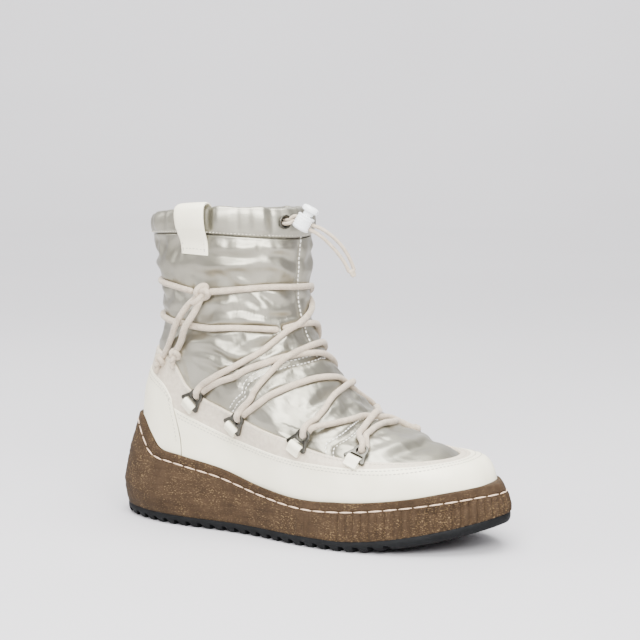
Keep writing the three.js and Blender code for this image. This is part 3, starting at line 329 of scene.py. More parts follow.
def lattice(rows, loop_rows=False, cap=None, flip=None):
    """Quads over rows of points that each close on themselves, with a UV map of row and column."""
    rows = np.asarray(rows, float)
    r, c = rows.shape[:2]
    row = np.arange(r if loop_rows else r - 1)
    a, b = np.meshgrid(row, np.arange(c), indexing="ij")
    a, b = a.ravel(), b.ravel()
    corners = [(a, b), (a, b + 1), (a + 1, b + 1), (a + 1, b)]
    faces = np.stack([(i % r) * c + j % c for i, j in corners], 1)
    uv = np.stack([np.stack([j, i], 1) for i, j in corners], 1).astype(float)
    points = rows.reshape(-1, 3)
    middle = points.mean(0)
    p = points[faces] - middle
    volume = (np.cross(p[:, 1] - p[:, 0], p[:, 3] - p[:, 0]) * p[:, 0]).sum()
    turn = volume < 0 if flip is None else flip
    if turn:
        faces, uv = faces[:, ::-1], uv[:, ::-1]
    faces = faces.tolist()
    uv = uv.reshape(-1, 2)
    extra = []
    if cap:
        for end in (0, r - 1):
            ring = [end * c + k for k in range(c)]
            extra += cap_faces(ring, cap, (end == 0) != turn)
    if extra:
        uv = np.vstack([uv, np.zeros((sum(len(f) for f in extra), 2))])
    return points, faces + extra, uv


def cap_faces(ring, kind, back):
    n = len(ring)
    if kind == "plain":
        return [ring[::-1] if back else ring]
    found = []
    for i in range(n // 2):
        far = (n - i) % n
        if i + 1 < n - i - 1:
            face = [ring[i], ring[i + 1], ring[n - i - 1]] + ([ring[far]] if i > 0 else [])
        elif i > 0:
            face = [ring[i], ring[n - i - 1], ring[far]]
        else:
            continue
        if len(set(face)) >= 3:
            found.append(face[::-1] if back else face)
    return found


def joined_object(name, parts, smooth=True, crease=None):
    """One object from several (points, faces, uv) parts."""
    points, faces, uvs = [], [], []
    offset = 0
    for p, f, uv in parts:
        points.append(p)
        faces += [[i + offset for i in face] for face in f]
        uvs.append(uv)
        offset += len(p)
    return make_object(name, np.vstack(points), faces, np.vstack(uvs), smooth, crease)


def tube(line, radius, around=14, step=1.2, lobes=0.0, twist=90.0):
    """Cord with rounded ends. Its UV map runs along it in metres and once round. Lobes give two plies."""
    line = even_points(line, step)
    tangent = unit(np.gradient(line, axis=0))
    normal = np.zeros_like(line)
    start = np.cross(tangent[0], [0.3, 0.5, 0.8])
    normal[0] = start / np.linalg.norm(start)
    for k in range(1, len(line)):
        n = normal[k - 1] - tangent[k] * (normal[k - 1] @ tangent[k])
        normal[k] = n / np.linalg.norm(n)
    side = np.cross(tangent, normal)
    length = np.concatenate([[0], np.cumsum(np.linalg.norm(np.diff(line, axis=0), axis=1))])
    caps = np.array([0.25, 0.6, 0.85, 0.97])
    reach = np.sqrt(1 - caps ** 2) * radius
    front = line[0] - tangent[0] * reach[:, None]
    back = line[-1] + tangent[-1] * reach[::-1][:, None]
    centres = np.vstack([front, line, back])
    normal = np.vstack([np.repeat(normal[:1], 4, 0), normal, np.repeat(normal[-1:], 4, 0)])
    side = np.vstack([np.repeat(side[:1], 4, 0), side, np.repeat(side[-1:], 4, 0)])
    scale = np.concatenate([caps, np.ones(len(line)), caps[::-1]])
    lengths = np.concatenate([length[0] - reach, length, length[-1] + reach[::-1]])
    angle = np.linspace(0, 2 * np.pi, around, endpoint=False)
    turn = lengths[:, None] / twist * 2 * np.pi
    wave = radius * (1 - lobes * 0.5 + lobes * 0.5 * np.cos(2 * (angle + turn))) * scale[:, None]
    ring = np.cos(angle)[None, :, None] * normal[:, None] + np.sin(angle)[None, :, None] * side[:, None]
    rows = centres[:, None] + ring * wave[..., None]
    points, faces, uv = lattice(rows, cap="plain")
    at = np.minimum(uv[:, 1].astype(int), len(lengths) - 1)
    uv = np.stack([lengths[at] * MM, uv[:, 0] / around], 1)
    return points, faces, uv


def placed(matrix, points):
    p = np.asarray(points, float)
    return p @ matrix[:3, :3].T + matrix[:3, 3]


def placed_rows(matrix, rows):
    rows = np.array(rows, float)
    return placed(matrix, rows.reshape(-1, 3)).reshape(rows.shape)


def frame_matrix(x, y, z, origin):
    m = np.eye(4)
    m[:3, 0], m[:3, 1], m[:3, 2], m[:3, 3] = x, y, z, origin
    return m


# Materials, all worked out by nodes
class Finish:
    def __init__(self, name, **values):
        self.material = bpy.data.materials.new(name)
        self.material.use_nodes = True
        self.nodes = self.material.node_tree.nodes
        self.links = self.material.node_tree.links
        self.shader = self.nodes["Principled BSDF"]
        for key, value in values.items():
            self.shader.inputs[key.replace("_", " ")].default_value = value
        self.place = self.nodes.new("ShaderNodeTexCoord")

    def node(self, kind, settings=None, **inputs):
        node = self.nodes.new("ShaderNode" + kind)
        for key, value in (settings or {}).items():
            setattr(node, key, value)
        for key, value in inputs.items():
            self.feed(node, key.replace("_", " "), value)
        return node

    def feed(self, node, key, value):
        socket = node.inputs[int(key[1:])] if key[0] == "i" and key[1:].isdigit() else node.inputs[key]
        if isinstance(value, bpy.types.NodeSocket):
            self.links.new(value, socket)
        else:
            socket.default_value = value

    def object_place(self, scale=(1, 1, 1)):
        return self.node("Mapping", Vector=self.place.outputs["Object"], Scale=scale).outputs["Vector"]

    def noise(self, at, scale, detail=3.0, roughness=0.5, distortion=0.0):
        return self.node("TexNoise", Vector=at, Scale=scale, Detail=detail, Roughness=roughness,
                         Distortion=distortion).outputs["Fac"]

    def ramp(self, value, stops):
        node = self.node("ValToRGB", Fac=value)
        ramp = node.color_ramp
        for k, (at, colour) in enumerate(stops):
            stop = ramp.elements[k] if k < 2 else ramp.elements.new(at)
            stop.position = at
            stop.color = (*colour, 1)
        return node.outputs["Color"]

    def math(self, operation, a, b=0.0):
        return self.node("Math", {"operation": operation}, i0=a, i1=b).outputs["Value"]

    def mix(self, factor, a, b, kind="MIX"):
        node = self.node("MixRGB", {"blend_type": kind}, Fac=factor, Color1=a, Color2=b)
        return node.outputs["Color"]

    def grey(self, value, low, high):
        return self.node("MapRange", Value=value, To_Min=low, To_Max=high).outputs["Result"]

    def bump(self, *layers):
        last = None
        for height, strength, distance in layers:
            node = self.node("Bump", Height=height, Strength=strength, Distance=distance)
            if last:
                self.feed(node, "Normal", last)
            last = node.outputs["Normal"]
        self.feed(self.shader, "Normal", last)

    def colour(self, value):
        self.feed(self.shader, "Base Color", value)

    def two_tones(self, noise, dark, light):
        self.colour(self.ramp(noise, [(0.3, dark), (0.7, light)]))

    def gloss(self, noise, low, high):
        self.feed(self.shader, "Roughness", self.grey(noise, low, high))


def silver_nylon():
    f = Finish("silver_nylon", Metallic=0.94, Roughness=0.36)
    f.shader.inputs["Coat Weight"].default_value = 0.12
    f.shader.inputs["Coat Roughness"].default_value = 0.3
    at = f.object_place()
    flat = f.object_place((0.5, 0.5, 1.4))
    crinkle = f.noise(flat, 95.0, 5.0, 0.55, 0.5)
    fine = f.noise(flat, 420.0, 4.0, 0.6)
    weave = f.node("TexVoronoi", {"feature": "F1"}, Vector=at, Scale=2600.0).outputs["Distance"]
    f.two_tones(f.noise(at, 26.0, 3.0), (0.255, 0.242, 0.190), (0.380, 0.364, 0.300))
    f.gloss(f.noise(at, 90.0, 4.0), 0.36, 0.46)
    f.bump((crinkle, 0.22, 0.0012), (fine, 0.10, 0.0004), (weave, 0.04, 0.0001))
    return f.material


def cream_leather():
    f = Finish("cream_leather", Roughness=0.52)
    at = f.object_place()
    pebble = f.node("TexVoronoi", {"feature": "SMOOTH_F1"}, Vector=at, Scale=1300.0).outputs["Distance"]
    f.two_tones(f.noise(at, 34.0, 3.0), (0.80, 0.755, 0.575), (0.90, 0.855, 0.68))
    f.gloss(f.noise(at, 240.0, 3.0), 0.44, 0.60)
    f.bump((f.noise(at, 60.0, 4.0), 0.10, 0.0012), (pebble, 0.16, 0.0002))
    return f.material


def woven_band():
    f = Finish("beige_facing", Roughness=0.72)
    at = f.object_place()
    f.two_tones(f.noise(at, 420.0, 3.0), (0.52, 0.445, 0.34), (0.64, 0.565, 0.45))
    f.bump((f.noise(at, 1500.0, 2.0), 0.25, 0.0003), (f.noise(at, 120.0, 3.0), 0.10, 0.0008))
    return f.material


BRAID_STRANDS = 7.0
BRAID_PITCH = 2.6


def lace_cord():
    f = Finish("lace_cord", Roughness=0.86)
    f.shader.inputs["Sheen Weight"].default_value = 0.25
    split = f.node("SeparateXYZ", Vector=f.place.outputs["UV"])
    along = f.math("MULTIPLY", split.outputs["X"], 1000.0 / BRAID_PITCH * 2 * math.pi)
    round_it = f.math("MULTIPLY", split.outputs["Y"], 2 * math.pi * BRAID_STRANDS)
    left = f.math("SINE", f.math("ADD", along, round_it))
    right = f.math("SINE", f.math("SUBTRACT", along, round_it))
    braid = f.math("MAXIMUM", left, right)
    at = f.object_place()
    base = f.ramp(f.noise(at, 300.0, 3.0), [(0.3, (0.385, 0.315, 0.232)), (0.7, (0.505, 0.425, 0.325))])
    # The braid's grooves are darkened a little in the colour: painted shade between the strands, not dye
    painted_braid_shade = f.ramp(braid, [(0.0, (0.90, 0.89, 0.87)), (0.6, (1.0, 1.0, 1.0))])
    f.colour(f.mix(1.0, base, painted_braid_shade, "MULTIPLY"))
    f.bump((braid, 0.22, 0.0002), (f.noise(at, 1900.0, 2.0), 0.2, 0.0002))
    return f.material


def cork():
    f = Finish("speckled_brown_sole", Roughness=0.85)
    f.shader.inputs["Specular IOR Level"].default_value = 0.2
    at = f.object_place()
    streak = f.object_place((1.0, 1.0, 2.6))
    browns = [(0.28, (0.021, 0.0115, 0.0050)), (0.50, (0.034, 0.0195, 0.0093)),
              (0.74, (0.049, 0.029, 0.0145))]
    base = f.ramp(f.noise(at, 130.0, 8.0, 0.72), browns)
    fleck = f.ramp(f.noise(streak, 720.0, 2.0, 0.5), [(0.56, (0, 0, 0)), (0.70, (1, 1, 1))])
    patch = f.ramp(f.noise(at, 60.0, 2.0), [(0.38, (0.10, 0.10, 0.10)), (0.60, (0.80, 0.80, 0.80))])
    f.colour(f.mix(f.mix(1.0, fleck, patch, "MULTIPLY"), base, (0.19, 0.125, 0.058, 1)))
    f.bump((f.noise(at, 260.0, 6.0, 0.7), 0.45, 0.0008), (fleck, 0.2, 0.0002))
    return f.material


def rubber():
    f = Finish("black_rubber", Roughness=0.7)
    f.shader.inputs["Specular IOR Level"].default_value = 0.15
    at = f.object_place()
    f.two_tones(f.noise(at, 120.0, 3.0), (0.0022, 0.0024, 0.0027), (0.0050, 0.0054, 0.0060))
    f.gloss(f.noise(at, 300.0, 3.0), 0.6, 0.8)
    f.bump((f.noise(at, 900.0, 3.0), 0.2, 0.0003),)
    return f.material


def gunmetal():
    f = Finish("gunmetal", Metallic=1.0, Roughness=0.30)
    at = f.object_place()
    f.two_tones(f.noise(at, 260.0, 4.0), (0.050, 0.048, 0.040), (0.105, 0.10, 0.085))
    f.gloss(f.noise(at, 700.0, 3.0), 0.22, 0.42)
    f.bump((f.noise(at, 500.0, 3.0), 0.08, 0.0003),)
    return f.material


def plastic():
    f = Finish("white_plastic", Roughness=0.32)
    at = f.object_place()
    f.two_tones(f.noise(at, 200.0, 2.0), (0.80, 0.82, 0.82), (0.86, 0.87, 0.87))
    f.gloss(f.noise(at, 800.0, 2.0), 0.26, 0.4)
    f.bump((f.noise(at, 900.0, 2.0), 0.06, 0.0002),)
    return f.material


def fleece(name, dark, light):
    f = Finish(name, Roughness=0.95)
    f.shader.inputs["Sheen Weight"].default_value = 0.5
    at = f.object_place()
    f.two_tones(f.noise(at, 380.0, 5.0), dark, light)
    f.bump((f.noise(at, 700.0, 5.0, 0.7), 0.6, 0.001),)
    return f.material


def thread(name, dark, light):
    f = Finish(name, Roughness=0.75)
    at = f.object_place()
    f.two_tones(f.noise(at, 900.0, 2.0), dark, light)
    f.bump((f.node("TexWave", Vector=at, Scale=900.0, Distortion=1.0).outputs["Fac"], 0.2, 0.0002),)
    return f.material


SILVER = silver_nylon()
CREAM = cream_leather()
BEIGE = woven_band()
LACE_FINISH = lace_cord()
CORK = cork()
RUBBER = rubber()
GUNMETAL = gunmetal()
PLASTIC = plastic()
FELT = fleece("insole_felt", (0.50, 0.47, 0.42), (0.68, 0.64, 0.58))
LINING = fleece("lining_fleece", (0.52, 0.50, 0.46), (0.74, 0.71, 0.66))
# Panel and collar thread: cream thread toned darker than the leather, partly its own colour and partly
# painted shade of the stitch holes, so the rows read as dark dashes
THREAD_WITH_PAINTED_SHADE = thread("cream_thread_with_painted_shade", (0.44, 0.41, 0.33), (0.58, 0.55, 0.46))
BRIGHT_THREAD = thread("bright_thread", (0.82, 0.80, 0.73), (0.92, 0.90, 0.84))
SOLE_THREAD = thread("sole_thread", (0.50, 0.35, 0.235), (0.68, 0.50, 0.36))


def finish_piece(obj, material=None, stands_for=(), body="boot"):
    if material:
        obj.data.materials.clear()
        obj.data.materials.append(material)
    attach(obj, body)
    if stands_for:
        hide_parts(*stands_for)
    return obj


# Camera at the photograph's angle
CAMERA_PLACE = (np.array([600.0, -1039.2, 285.2]) + SHIFT) * MM
PITCH = math.radians(7.14)
HEADING = (-0.5, 0.866)
LENS = 106.7
FRAME_SHIFT = 0.0143
camera_data = bpy.data.cameras.new("camera")
camera_data.sensor_width = 36.0
camera_data.lens = LENS
camera_data.shift_x = FRAME_SHIFT
camera_data.clip_start = 0.05
camera_data.clip_end = 50.0
camera = bpy.data.objects.new("camera", camera_data)
camera.location = CAMERA_PLACE.tolist()
look = Vector((HEADING[0] * math.cos(PITCH), HEADING[1] * math.cos(PITCH), -math.sin(PITCH)))
camera.rotation_euler = look.to_track_quat("-Z", "Y").to_euler()
bpy.context.scene.collection.objects.link(camera)
bpy.context.scene.camera = camera


# Lace rings: where they stand
def ring_frame(number, side):
    v0, u0, v1, u1 = LACE_RINGS[number - 1]
    mirrored = side == "inner"
    if mirrored:
        u0, u1 = 1 - u0, 1 - u1
    a, b = skin_point(v0, u0), skin_point(v1, u1)
    v, u = (v0 + v1) / 2, (u0 + u1) / 2
    out = skin_normal(v, u)
    base = b - a
    base = unit(base - out * (base @ out))
    up = np.cross(out, base)
    if mirrored:
        up, base = -up, -base
    origin = skin(v, u, SEAT_GAP + FACING + 0.3 + RING_LIFT)
    lean = math.radians(2 * RING_LEAN if (side, number) == ("inner", 4) else RING_LEAN)
    leant_up = up * math.cos(lean) - out * math.sin(lean)
    leant_out = out * math.cos(lean) + up * math.sin(lean)
    return frame_matrix(base, leant_up, leant_out, origin)


# Laces: each stretch leaves a ring's hole, runs over the padding and passes over or under the others
HOLE_Y = RING_HEIGHT - LACE_HOLE / 2 - RING_WIRE
LIFT_OVER_RING = 2.3
LIFT_UNDER_RING = -1.9
OVER_FROM_RANK = 5
START_LEAN_OVER, START_LEAN_UNDER = -2.2, 1.4
END_LEAN_TO_TOE, END_LEAN_TO_HEEL = 1.8, -1.0
RANKS_LEANT_TO_TOE = (2, 3, 4)
LIFT_SCALE = 100


def ring_exit(side, number, over, lean):
    lift = LIFT_OVER_RING if over else LIFT_UNDER_RING
    way = [[0, HOLE_Y + 0.4, 0.2 * lift], [lean * 0.5, HOLE_Y + 3.6, lift],
           [lean, HOLE_Y + 7.2, lift * 0.25 - 0.6]]
    close_to_next = (side, number) == ("outer", 4)
    return placed(ring_frame(number, side), way[:2] if close_to_next else way)


def over_skin(chosen, share):
    even = [[v, u, lift / LIFT_SCALE] for v, u, lift in chosen]
    curve = smooth_curve(even, (len(chosen) - 1) * share + 1)
    return skin(curve[:, 0], curve[:, 1], curve[:, 2] * LIFT_SCALE - LACE_SINK)


lace_lines = {}
lace_rank = {}
for name, start, end, rank, chosen in LACE_STRANDS:
    lies_over = rank >= OVER_FROM_RANK
    pieces = []
    if start:
        pieces.append(ring_exit(*start, lies_over, START_LEAN_OVER if lies_over else START_LEAN_UNDER))
    pieces.append(over_skin(chosen, 2))
    if end:
        lean = END_LEAN_TO_TOE if rank in RANKS_LEANT_TO_TOE else END_LEAN_TO_HEEL
        pieces.append(ring_exit(*end, not lies_over, lean)[::-1])
    lace_lines[name] = even_points(smooth_curve(np.vstack(pieces), 400), 1.0)
    lace_rank[name] = rank
for name, chosen, rank in (
    ("lace_turn_around_top", UPPER_TURN, 0.5),
    ("lace_turn_around_below", LOWER_TURN, 0.2),
):
    lace_lines[name] = even_points(smooth_curve(over_skin(chosen, 3), 600), 1.0)
    lace_rank[name] = rank
for name, chosen in (("lace_end_rear", REAR_TAIL), ("lace_end_front", FRONT_TAIL)):
    lace_lines[name] = even_points(smooth_curve(over_skin(chosen, 3), 300), 1.0)


# Fine table of the skin, to find the v and u of any point near it
table_v, table_u = np.meshgrid(np.linspace(0.02, 0.98, 193), np.arange(480) / 480, indexing="ij")
table_points = skin_point(table_v, table_u).reshape(-1, 3)
table_normals = skin_normal(table_v, table_u).reshape(-1, 3)
skin_tree = kdtree.KDTree(len(table_points))
for k, p in enumerate(table_points):
    skin_tree.insert(p, k)
skin_tree.balance()


def outward_at(points):
    return np.array([table_normals[skin_tree.find(p)[1]] for p in points])


# Crossings, in millimetres along the laces: how near is touching, and how far the two are parted
CROSSING_ROOM = 3.6
CROSSING_RISE = 2.9
CROSSING_DIP = 0.7
CROSSING_REACH = 8.0
CROSSING_DONE = 16
FREE_AT_RING = 14
FREE_AT_SHARED_RING = 34
FAR = 99
ENDS_AT_RING = [name for name, _, end, _, _ in LACE_STRANDS if end]
LACE_RINGS_OF = {name: {ring for ring in (start, end) if ring} for name, start, end, _, _ in LACE_STRANDS}
JOINED_ENDS = [{"lace_stretch_8", "lace_turn_around_top"}, {"lace_stretch_9", "lace_turn_around_below"}]


def part_crossings():
    """Lifts the upper lace and lowers the lower one where two stretches cross."""
    names = list(lace_rank)
    bumps = {n: np.zeros(len(lace_lines[n])) for n in names}
    for i, a in enumerate(names):
        for b in names[i + 1:]:
            if {a, b} in JOINED_ENDS:
                continue
            la, lb = lace_lines[a], lace_lines[b]
            gap = np.linalg.norm(la[:, None] - lb[None], axis=2)
            shared = LACE_RINGS_OF.get(a, set()) & LACE_RINGS_OF.get(b, set())
            free = FREE_AT_SHARED_RING if shared else FREE_AT_RING
            gap[:free] += FAR * (lace_rank[a] >= 1)
            gap[-free:] += FAR * (a in ENDS_AT_RING)
            gap[:, :free] += FAR * (lace_rank[b] >= 1)
            gap[:, -free:] += FAR * (b in ENDS_AT_RING)
            while gap.min() < CROSSING_ROOM:
                ka, kb = np.unravel_index(gap.argmin(), gap.shape)
                top, low = (a, b) if lace_rank[a] > lace_rank[b] else (b, a)
                kt, kl = (ka, kb) if top == a else (kb, ka)
                st, sl = np.arange(len(lace_lines[top])), np.arange(len(lace_lines[low]))
                rise = CROSSING_RISE * np.exp(-((st - kt) / CROSSING_REACH) ** 2)
                dip = -CROSSING_DIP * np.exp(-((sl - kl) / CROSSING_REACH) ** 2)
                bumps[top] = np.maximum(bumps[top], rise)
                bumps[low] = np.minimum(bumps[low], dip)
                rows = slice(max(ka - CROSSING_DONE, 0), ka + CROSSING_DONE + 1)
                columns = slice(max(kb - CROSSING_DONE, 0), kb + CROSSING_DONE + 1)
                gap[rows, columns] += FAR
    for n in names:
        lace_lines[n] = lace_lines[n] + outward_at(lace_lines[n]) * bumps[n][:, None]


part_crossings()

# Each lace is a tube of two plies
LACE_LOBES = 0.10
LACE_TWIST = 260.0
LACE_NODES = {
    "lace_turn_around_top": ["lace_turn_upper"], "lace_turn_around_below": ["lace_turn_lower"],
    "lace_end_rear": ["lace_tail_rear"], "lace_end_front": ["lace_tail_front"],
}
for name, line in lace_lines.items():
    obj = joined_object(name, [tube(line, LACE / 2, lobes=LACE_LOBES, twist=LACE_TWIST)])
    stands_for = LACE_NODES.get(name, ["lace_crossings"])
    finish_piece(obj, LACE_FINISH, stands_for)


# Knots: the lace wound on itself as a trefoil, with its width, height and radius
MAIN_KNOT = (11.0, 17.5, 2.0)
END_KNOT = (8.8, 11.5, 1.75)
TREFOIL_TALL = 1.69
KNOT_STEP = 0.7
KNOT_STUB = ((1.0, -3.0, 0.5), (2.6, -6.6, 0.8))


def knot_parts(centre, normal, down, size, ends=()):
    width, tall, radius = size
    out = unit(normal)
    down = unit(down - out * (down @ out))
    m = frame_matrix(np.cross(out, down), -down, out, centre)
    t = np.linspace(0, 2 * np.pi, 160)
    half, reach = width / 2 - radius, (tall - 2 * radius) / TREFOIL_TALL
    loop = np.stack([half * 1.12 * (np.sin(t) + 2 * np.sin(2 * t)) / 3,
                     reach * (0.15 + (np.cos(t) - 2 * np.cos(2 * t)) / 3), -0.85 * radius * np.sin(3 * t)], 1)
    parts = [tube(placed(m, loop), radius, lobes=LACE_LOBES, twist=LACE_TWIST, step=KNOT_STEP)]
    for a, b in ends:
        stub = placed(m, [a, (np.array(a) + b) / 2, b])
        parts.append(tube(stub, radius * 0.95, lobes=LACE_LOBES, step=KNOT_STEP))
    return parts


knot_v, knot_u, knot_lift = KNOT_PLACE
knot_at = skin(knot_v - 0.006, knot_u, knot_lift - LACE_SINK * 0.6)
tail_down = lace_lines["lace_end_rear"][14] - knot_at
parts = knot_parts(knot_at, skin_normal(knot_v, knot_u), tail_down, MAIN_KNOT)
finish_piece(joined_object("lace_bow_knot", parts), LACE_FINISH, ["lace_knot"])
for name, node, (v, u, lift), cord in (
    ("knot_on_rear_end", "end_knot_rear", REAR_END_KNOT, "lace_end_rear"),
    ("knot_on_front_end", "end_knot_front", FRONT_END_KNOT, "lace_end_front"),
):
    centre = skin(v, u, lift - LACE_SINK * 0.9)
    parts = knot_parts(centre, skin_normal(v, u), centre - lace_lines[cord][-5], END_KNOT, [KNOT_STUB])
    finish_piece(joined_object(name, parts), LACE_FINISH, [node])

# Drawcord ends through the eyelet and the lock to the crimped tip
for name, node, chosen in (("drawcord_end_low", "drawcord_lower", LOWER_DRAWCORD),
                           ("drawcord_end_high", "drawcord_upper", UPPER_DRAWCORD)):
    line = smooth_curve(chosen, 240)
    obj = joined_object(name, [tube(line, DRAWCORD / 2, around=12, step=0.9)])
    finish_piece(obj, LACE_FINISH, [node])


# Padding: how far the silver fabric stands out from the bare skin
def lines_tree(lines):
    points, along = [], []
    for line in lines:
        line = even_points(line, 1.5)
        points.append(line)
        along.append(np.arange(len(line)) * 1.5 + 137.0 * len(along))
    points, along = np.vstack(points), np.concatenate(along)
    tree = kdtree.KDTree(len(points))
    for k, p in enumerate(points):
        tree.insert(p, k)
    tree.balance()
    return tree, along


def skin_line(points, count=160):
    curve = smooth_curve(points, count)
    return skin(curve[:, 0], curve[:, 1])


def side_line(table, start, end, lift, drop, flip):
    u = np.linspace(start, end, 200)
    v = look_up(table, 1, u) - drop
    return skin(v, 1 - u if flip else u, lift)


FRONT_SEAM = [[0.925, 0.487], [0.80, 0.487], [0.70, 0.486], [0.62, 0.487]]
INSTEP_SEAM = [[0.345, 0.222], [0.415, 0.247], [0.460, 0.264], [0.510, 0.293], [0.555, 0.332],
               [0.590, 0.385], [0.610, 0.445], [0.618, 0.500]]
VAMP_SEAM = [[0.248, 0.291], [0.275, 0.309], [0.300, 0.336], [0.330, 0.367], [0.365, 0.408], [0.395, 0.453],
             [0.403, 0.500]]


def mirrored(points):
    return [[v, 1 - u] for v, u in points]


seam_lines = [skin_line(FRONT_SEAM), skin_line(INSTEP_SEAM), skin_line(mirrored(INSTEP_SEAM)),
              skin_line(VAMP_SEAM), skin_line(mirrored(VAMP_SEAM))]
seam_tree, seam_along = lines_tree(seam_lines)
lace_tree, lace_along = lines_tree([lace_lines[n] for n in lace_lines if n in lace_rank])


def noise_at(points, scale, seed=0.0):
    return np.array([noise.noise(Vector((p[0] * scale[0] + seed, p[1] * scale[1], p[2] * scale[2])))
                     for p in points])


# Folds of the padded fabric: height of the ridge, width, and its line as v and u
FOLDS = [
    (1.5, 3.2, [[0.822, 0.250], [0.834, 0.300], [0.842, 0.345]]),
    (1.0, 2.4, [[0.812, 0.306], [0.788, 0.350]]),
    (1.1, 3.0, [[0.905, 0.378], [0.889, 0.458]]),
    (1.6, 3.2, [[0.858, 0.380], [0.840, 0.430], [0.815, 0.480]]),
    (-1.3, 2.4, [[0.868, 0.270], [0.862, 0.330], [0.872, 0.372]]),
    (1.2, 2.6, [[0.715, 0.230], [0.728, 0.280], [0.741, 0.322]]),
    (1.0, 2.2, [[0.772, 0.352], [0.738, 0.391]]),
    (1.1, 2.4, [[0.792, 0.382], [0.772, 0.420], [0.754, 0.460]]),
    (-1.6, 2.2, [[0.722, 0.310], [0.716, 0.390], [0.720, 0.468]]),
    (1.3, 2.8, [[0.572, 0.186], [0.585, 0.216], [0.598, 0.247]]),
    (1.4, 2.6, [[0.598, 0.246], [0.586, 0.276], [0.568, 0.308]]),
    (1.5, 2.8, [[0.540, 0.220], [0.530, 0.252], [0.524, 0.288]]),
    (-1.3, 2.2, [[0.562, 0.205], [0.556, 0.245], [0.545, 0.292]]),
    (1.2, 5.5, [[0.480, 0.288], [0.520, 0.370], [0.568, 0.490]]),
    (1.2, 3.6, [[0.936, 0.196], [0.880, 0.182], [0.825, 0.164]]),
    (1.0, 3.0, [[0.905, 0.060], [0.870, 0.100], [0.850, 0.140]]),
    (1.1, 3.0, [[0.800, 0.030], [0.815, 0.090], [0.800, 0.150]]),
    (-1.2, 2.6, [[0.700, 0.040], [0.690, 0.090], [0.697, 0.150]]),
    (1.0, 3.4, [[0.360, 0.372], [0.392, 0.450], [0.398, 0.560]]),
    (0.9, 3.4, [[0.250, 0.338], [0.287, 0.420], [0.304, 0.520]]),
    (-1.0, 2.6, [[0.300, 0.350], [0.335, 0.420], [0.345, 0.520]]),
    (1.1, 3.4, [[0.372, 0.318], [0.430, 0.390], [0.482, 0.462]]),
    (0.9, 2.6, [[0.645, 0.330], [0.668, 0.390], [0.660, 0.440]]),
]


FOLD_POINTS = 24
FOLD_TROUGH = 0.45
INNER_FOLD_SHARE = 0.5


def fold_relief(points):
    """Ridges with a shallow trough on both sides, or the other way round where the height is negative."""
    total = np.zeros(len(points))
    for height, width, chosen in FOLDS:
        for line_points, share in ((chosen, 1.0), (mirrored(chosen), INNER_FOLD_SHARE)):
            line = skin_line(line_points, FOLD_POINTS)
            reach = 4.5 * width
            inside = ((points > line.min(0) - reach) & (points < line.max(0) + reach)).all(1)
            near = np.flatnonzero(inside)
            if len(near) == 0:
                continue
            gap = np.linalg.norm(points[near][:, None] - line[None], axis=2)
            closest = gap.argmin(1)
            gap = gap[np.arange(len(near)), closest]
            taper = np.sin(np.pi * (closest + 0.5) / FOLD_POINTS) ** 0.7
            ridge = np.exp(-(gap / width) ** 2)
            relief = ridge - FOLD_TROUGH * np.exp(-((gap - 2.2 * width) / width) ** 2)
            total[near] += height * share * taper * relief
    return total


# Padding between the folds, in millimetres: heights, and how far from a lace, seam or collar they reach
PADDING_FACE = -0.4
ROLL, ROLL_SCALE = 1.5, (0.017, 0.017, 0.045)
WAVE, WAVE_SCALE = 0.9, (0.035, 0.035, 0.10)
FREE_RISE, FREE_OF_LACE, FREE_OF_SEAM = 0.7, 10.0, 9.0
LACE_GATHER, LACE_GATHER_REACH = 1.3, 10.0
SEAM_GATHER, SEAM_GATHER_REACH = 0.9, 8.0
COLLAR_GATHER, COLLAR_GATHER_REACH = 1.2, 9.0
SEAM_DEPTH, SEAM_WIDTH = 1.7, 2.4
BACK_FLAT, BACK_WIDTH = 1.3, 0.16
LACE_VALLEY_REACH = 14.0
PADDING_LOWEST, PADDING_HIGHEST = -1.9, 3.6


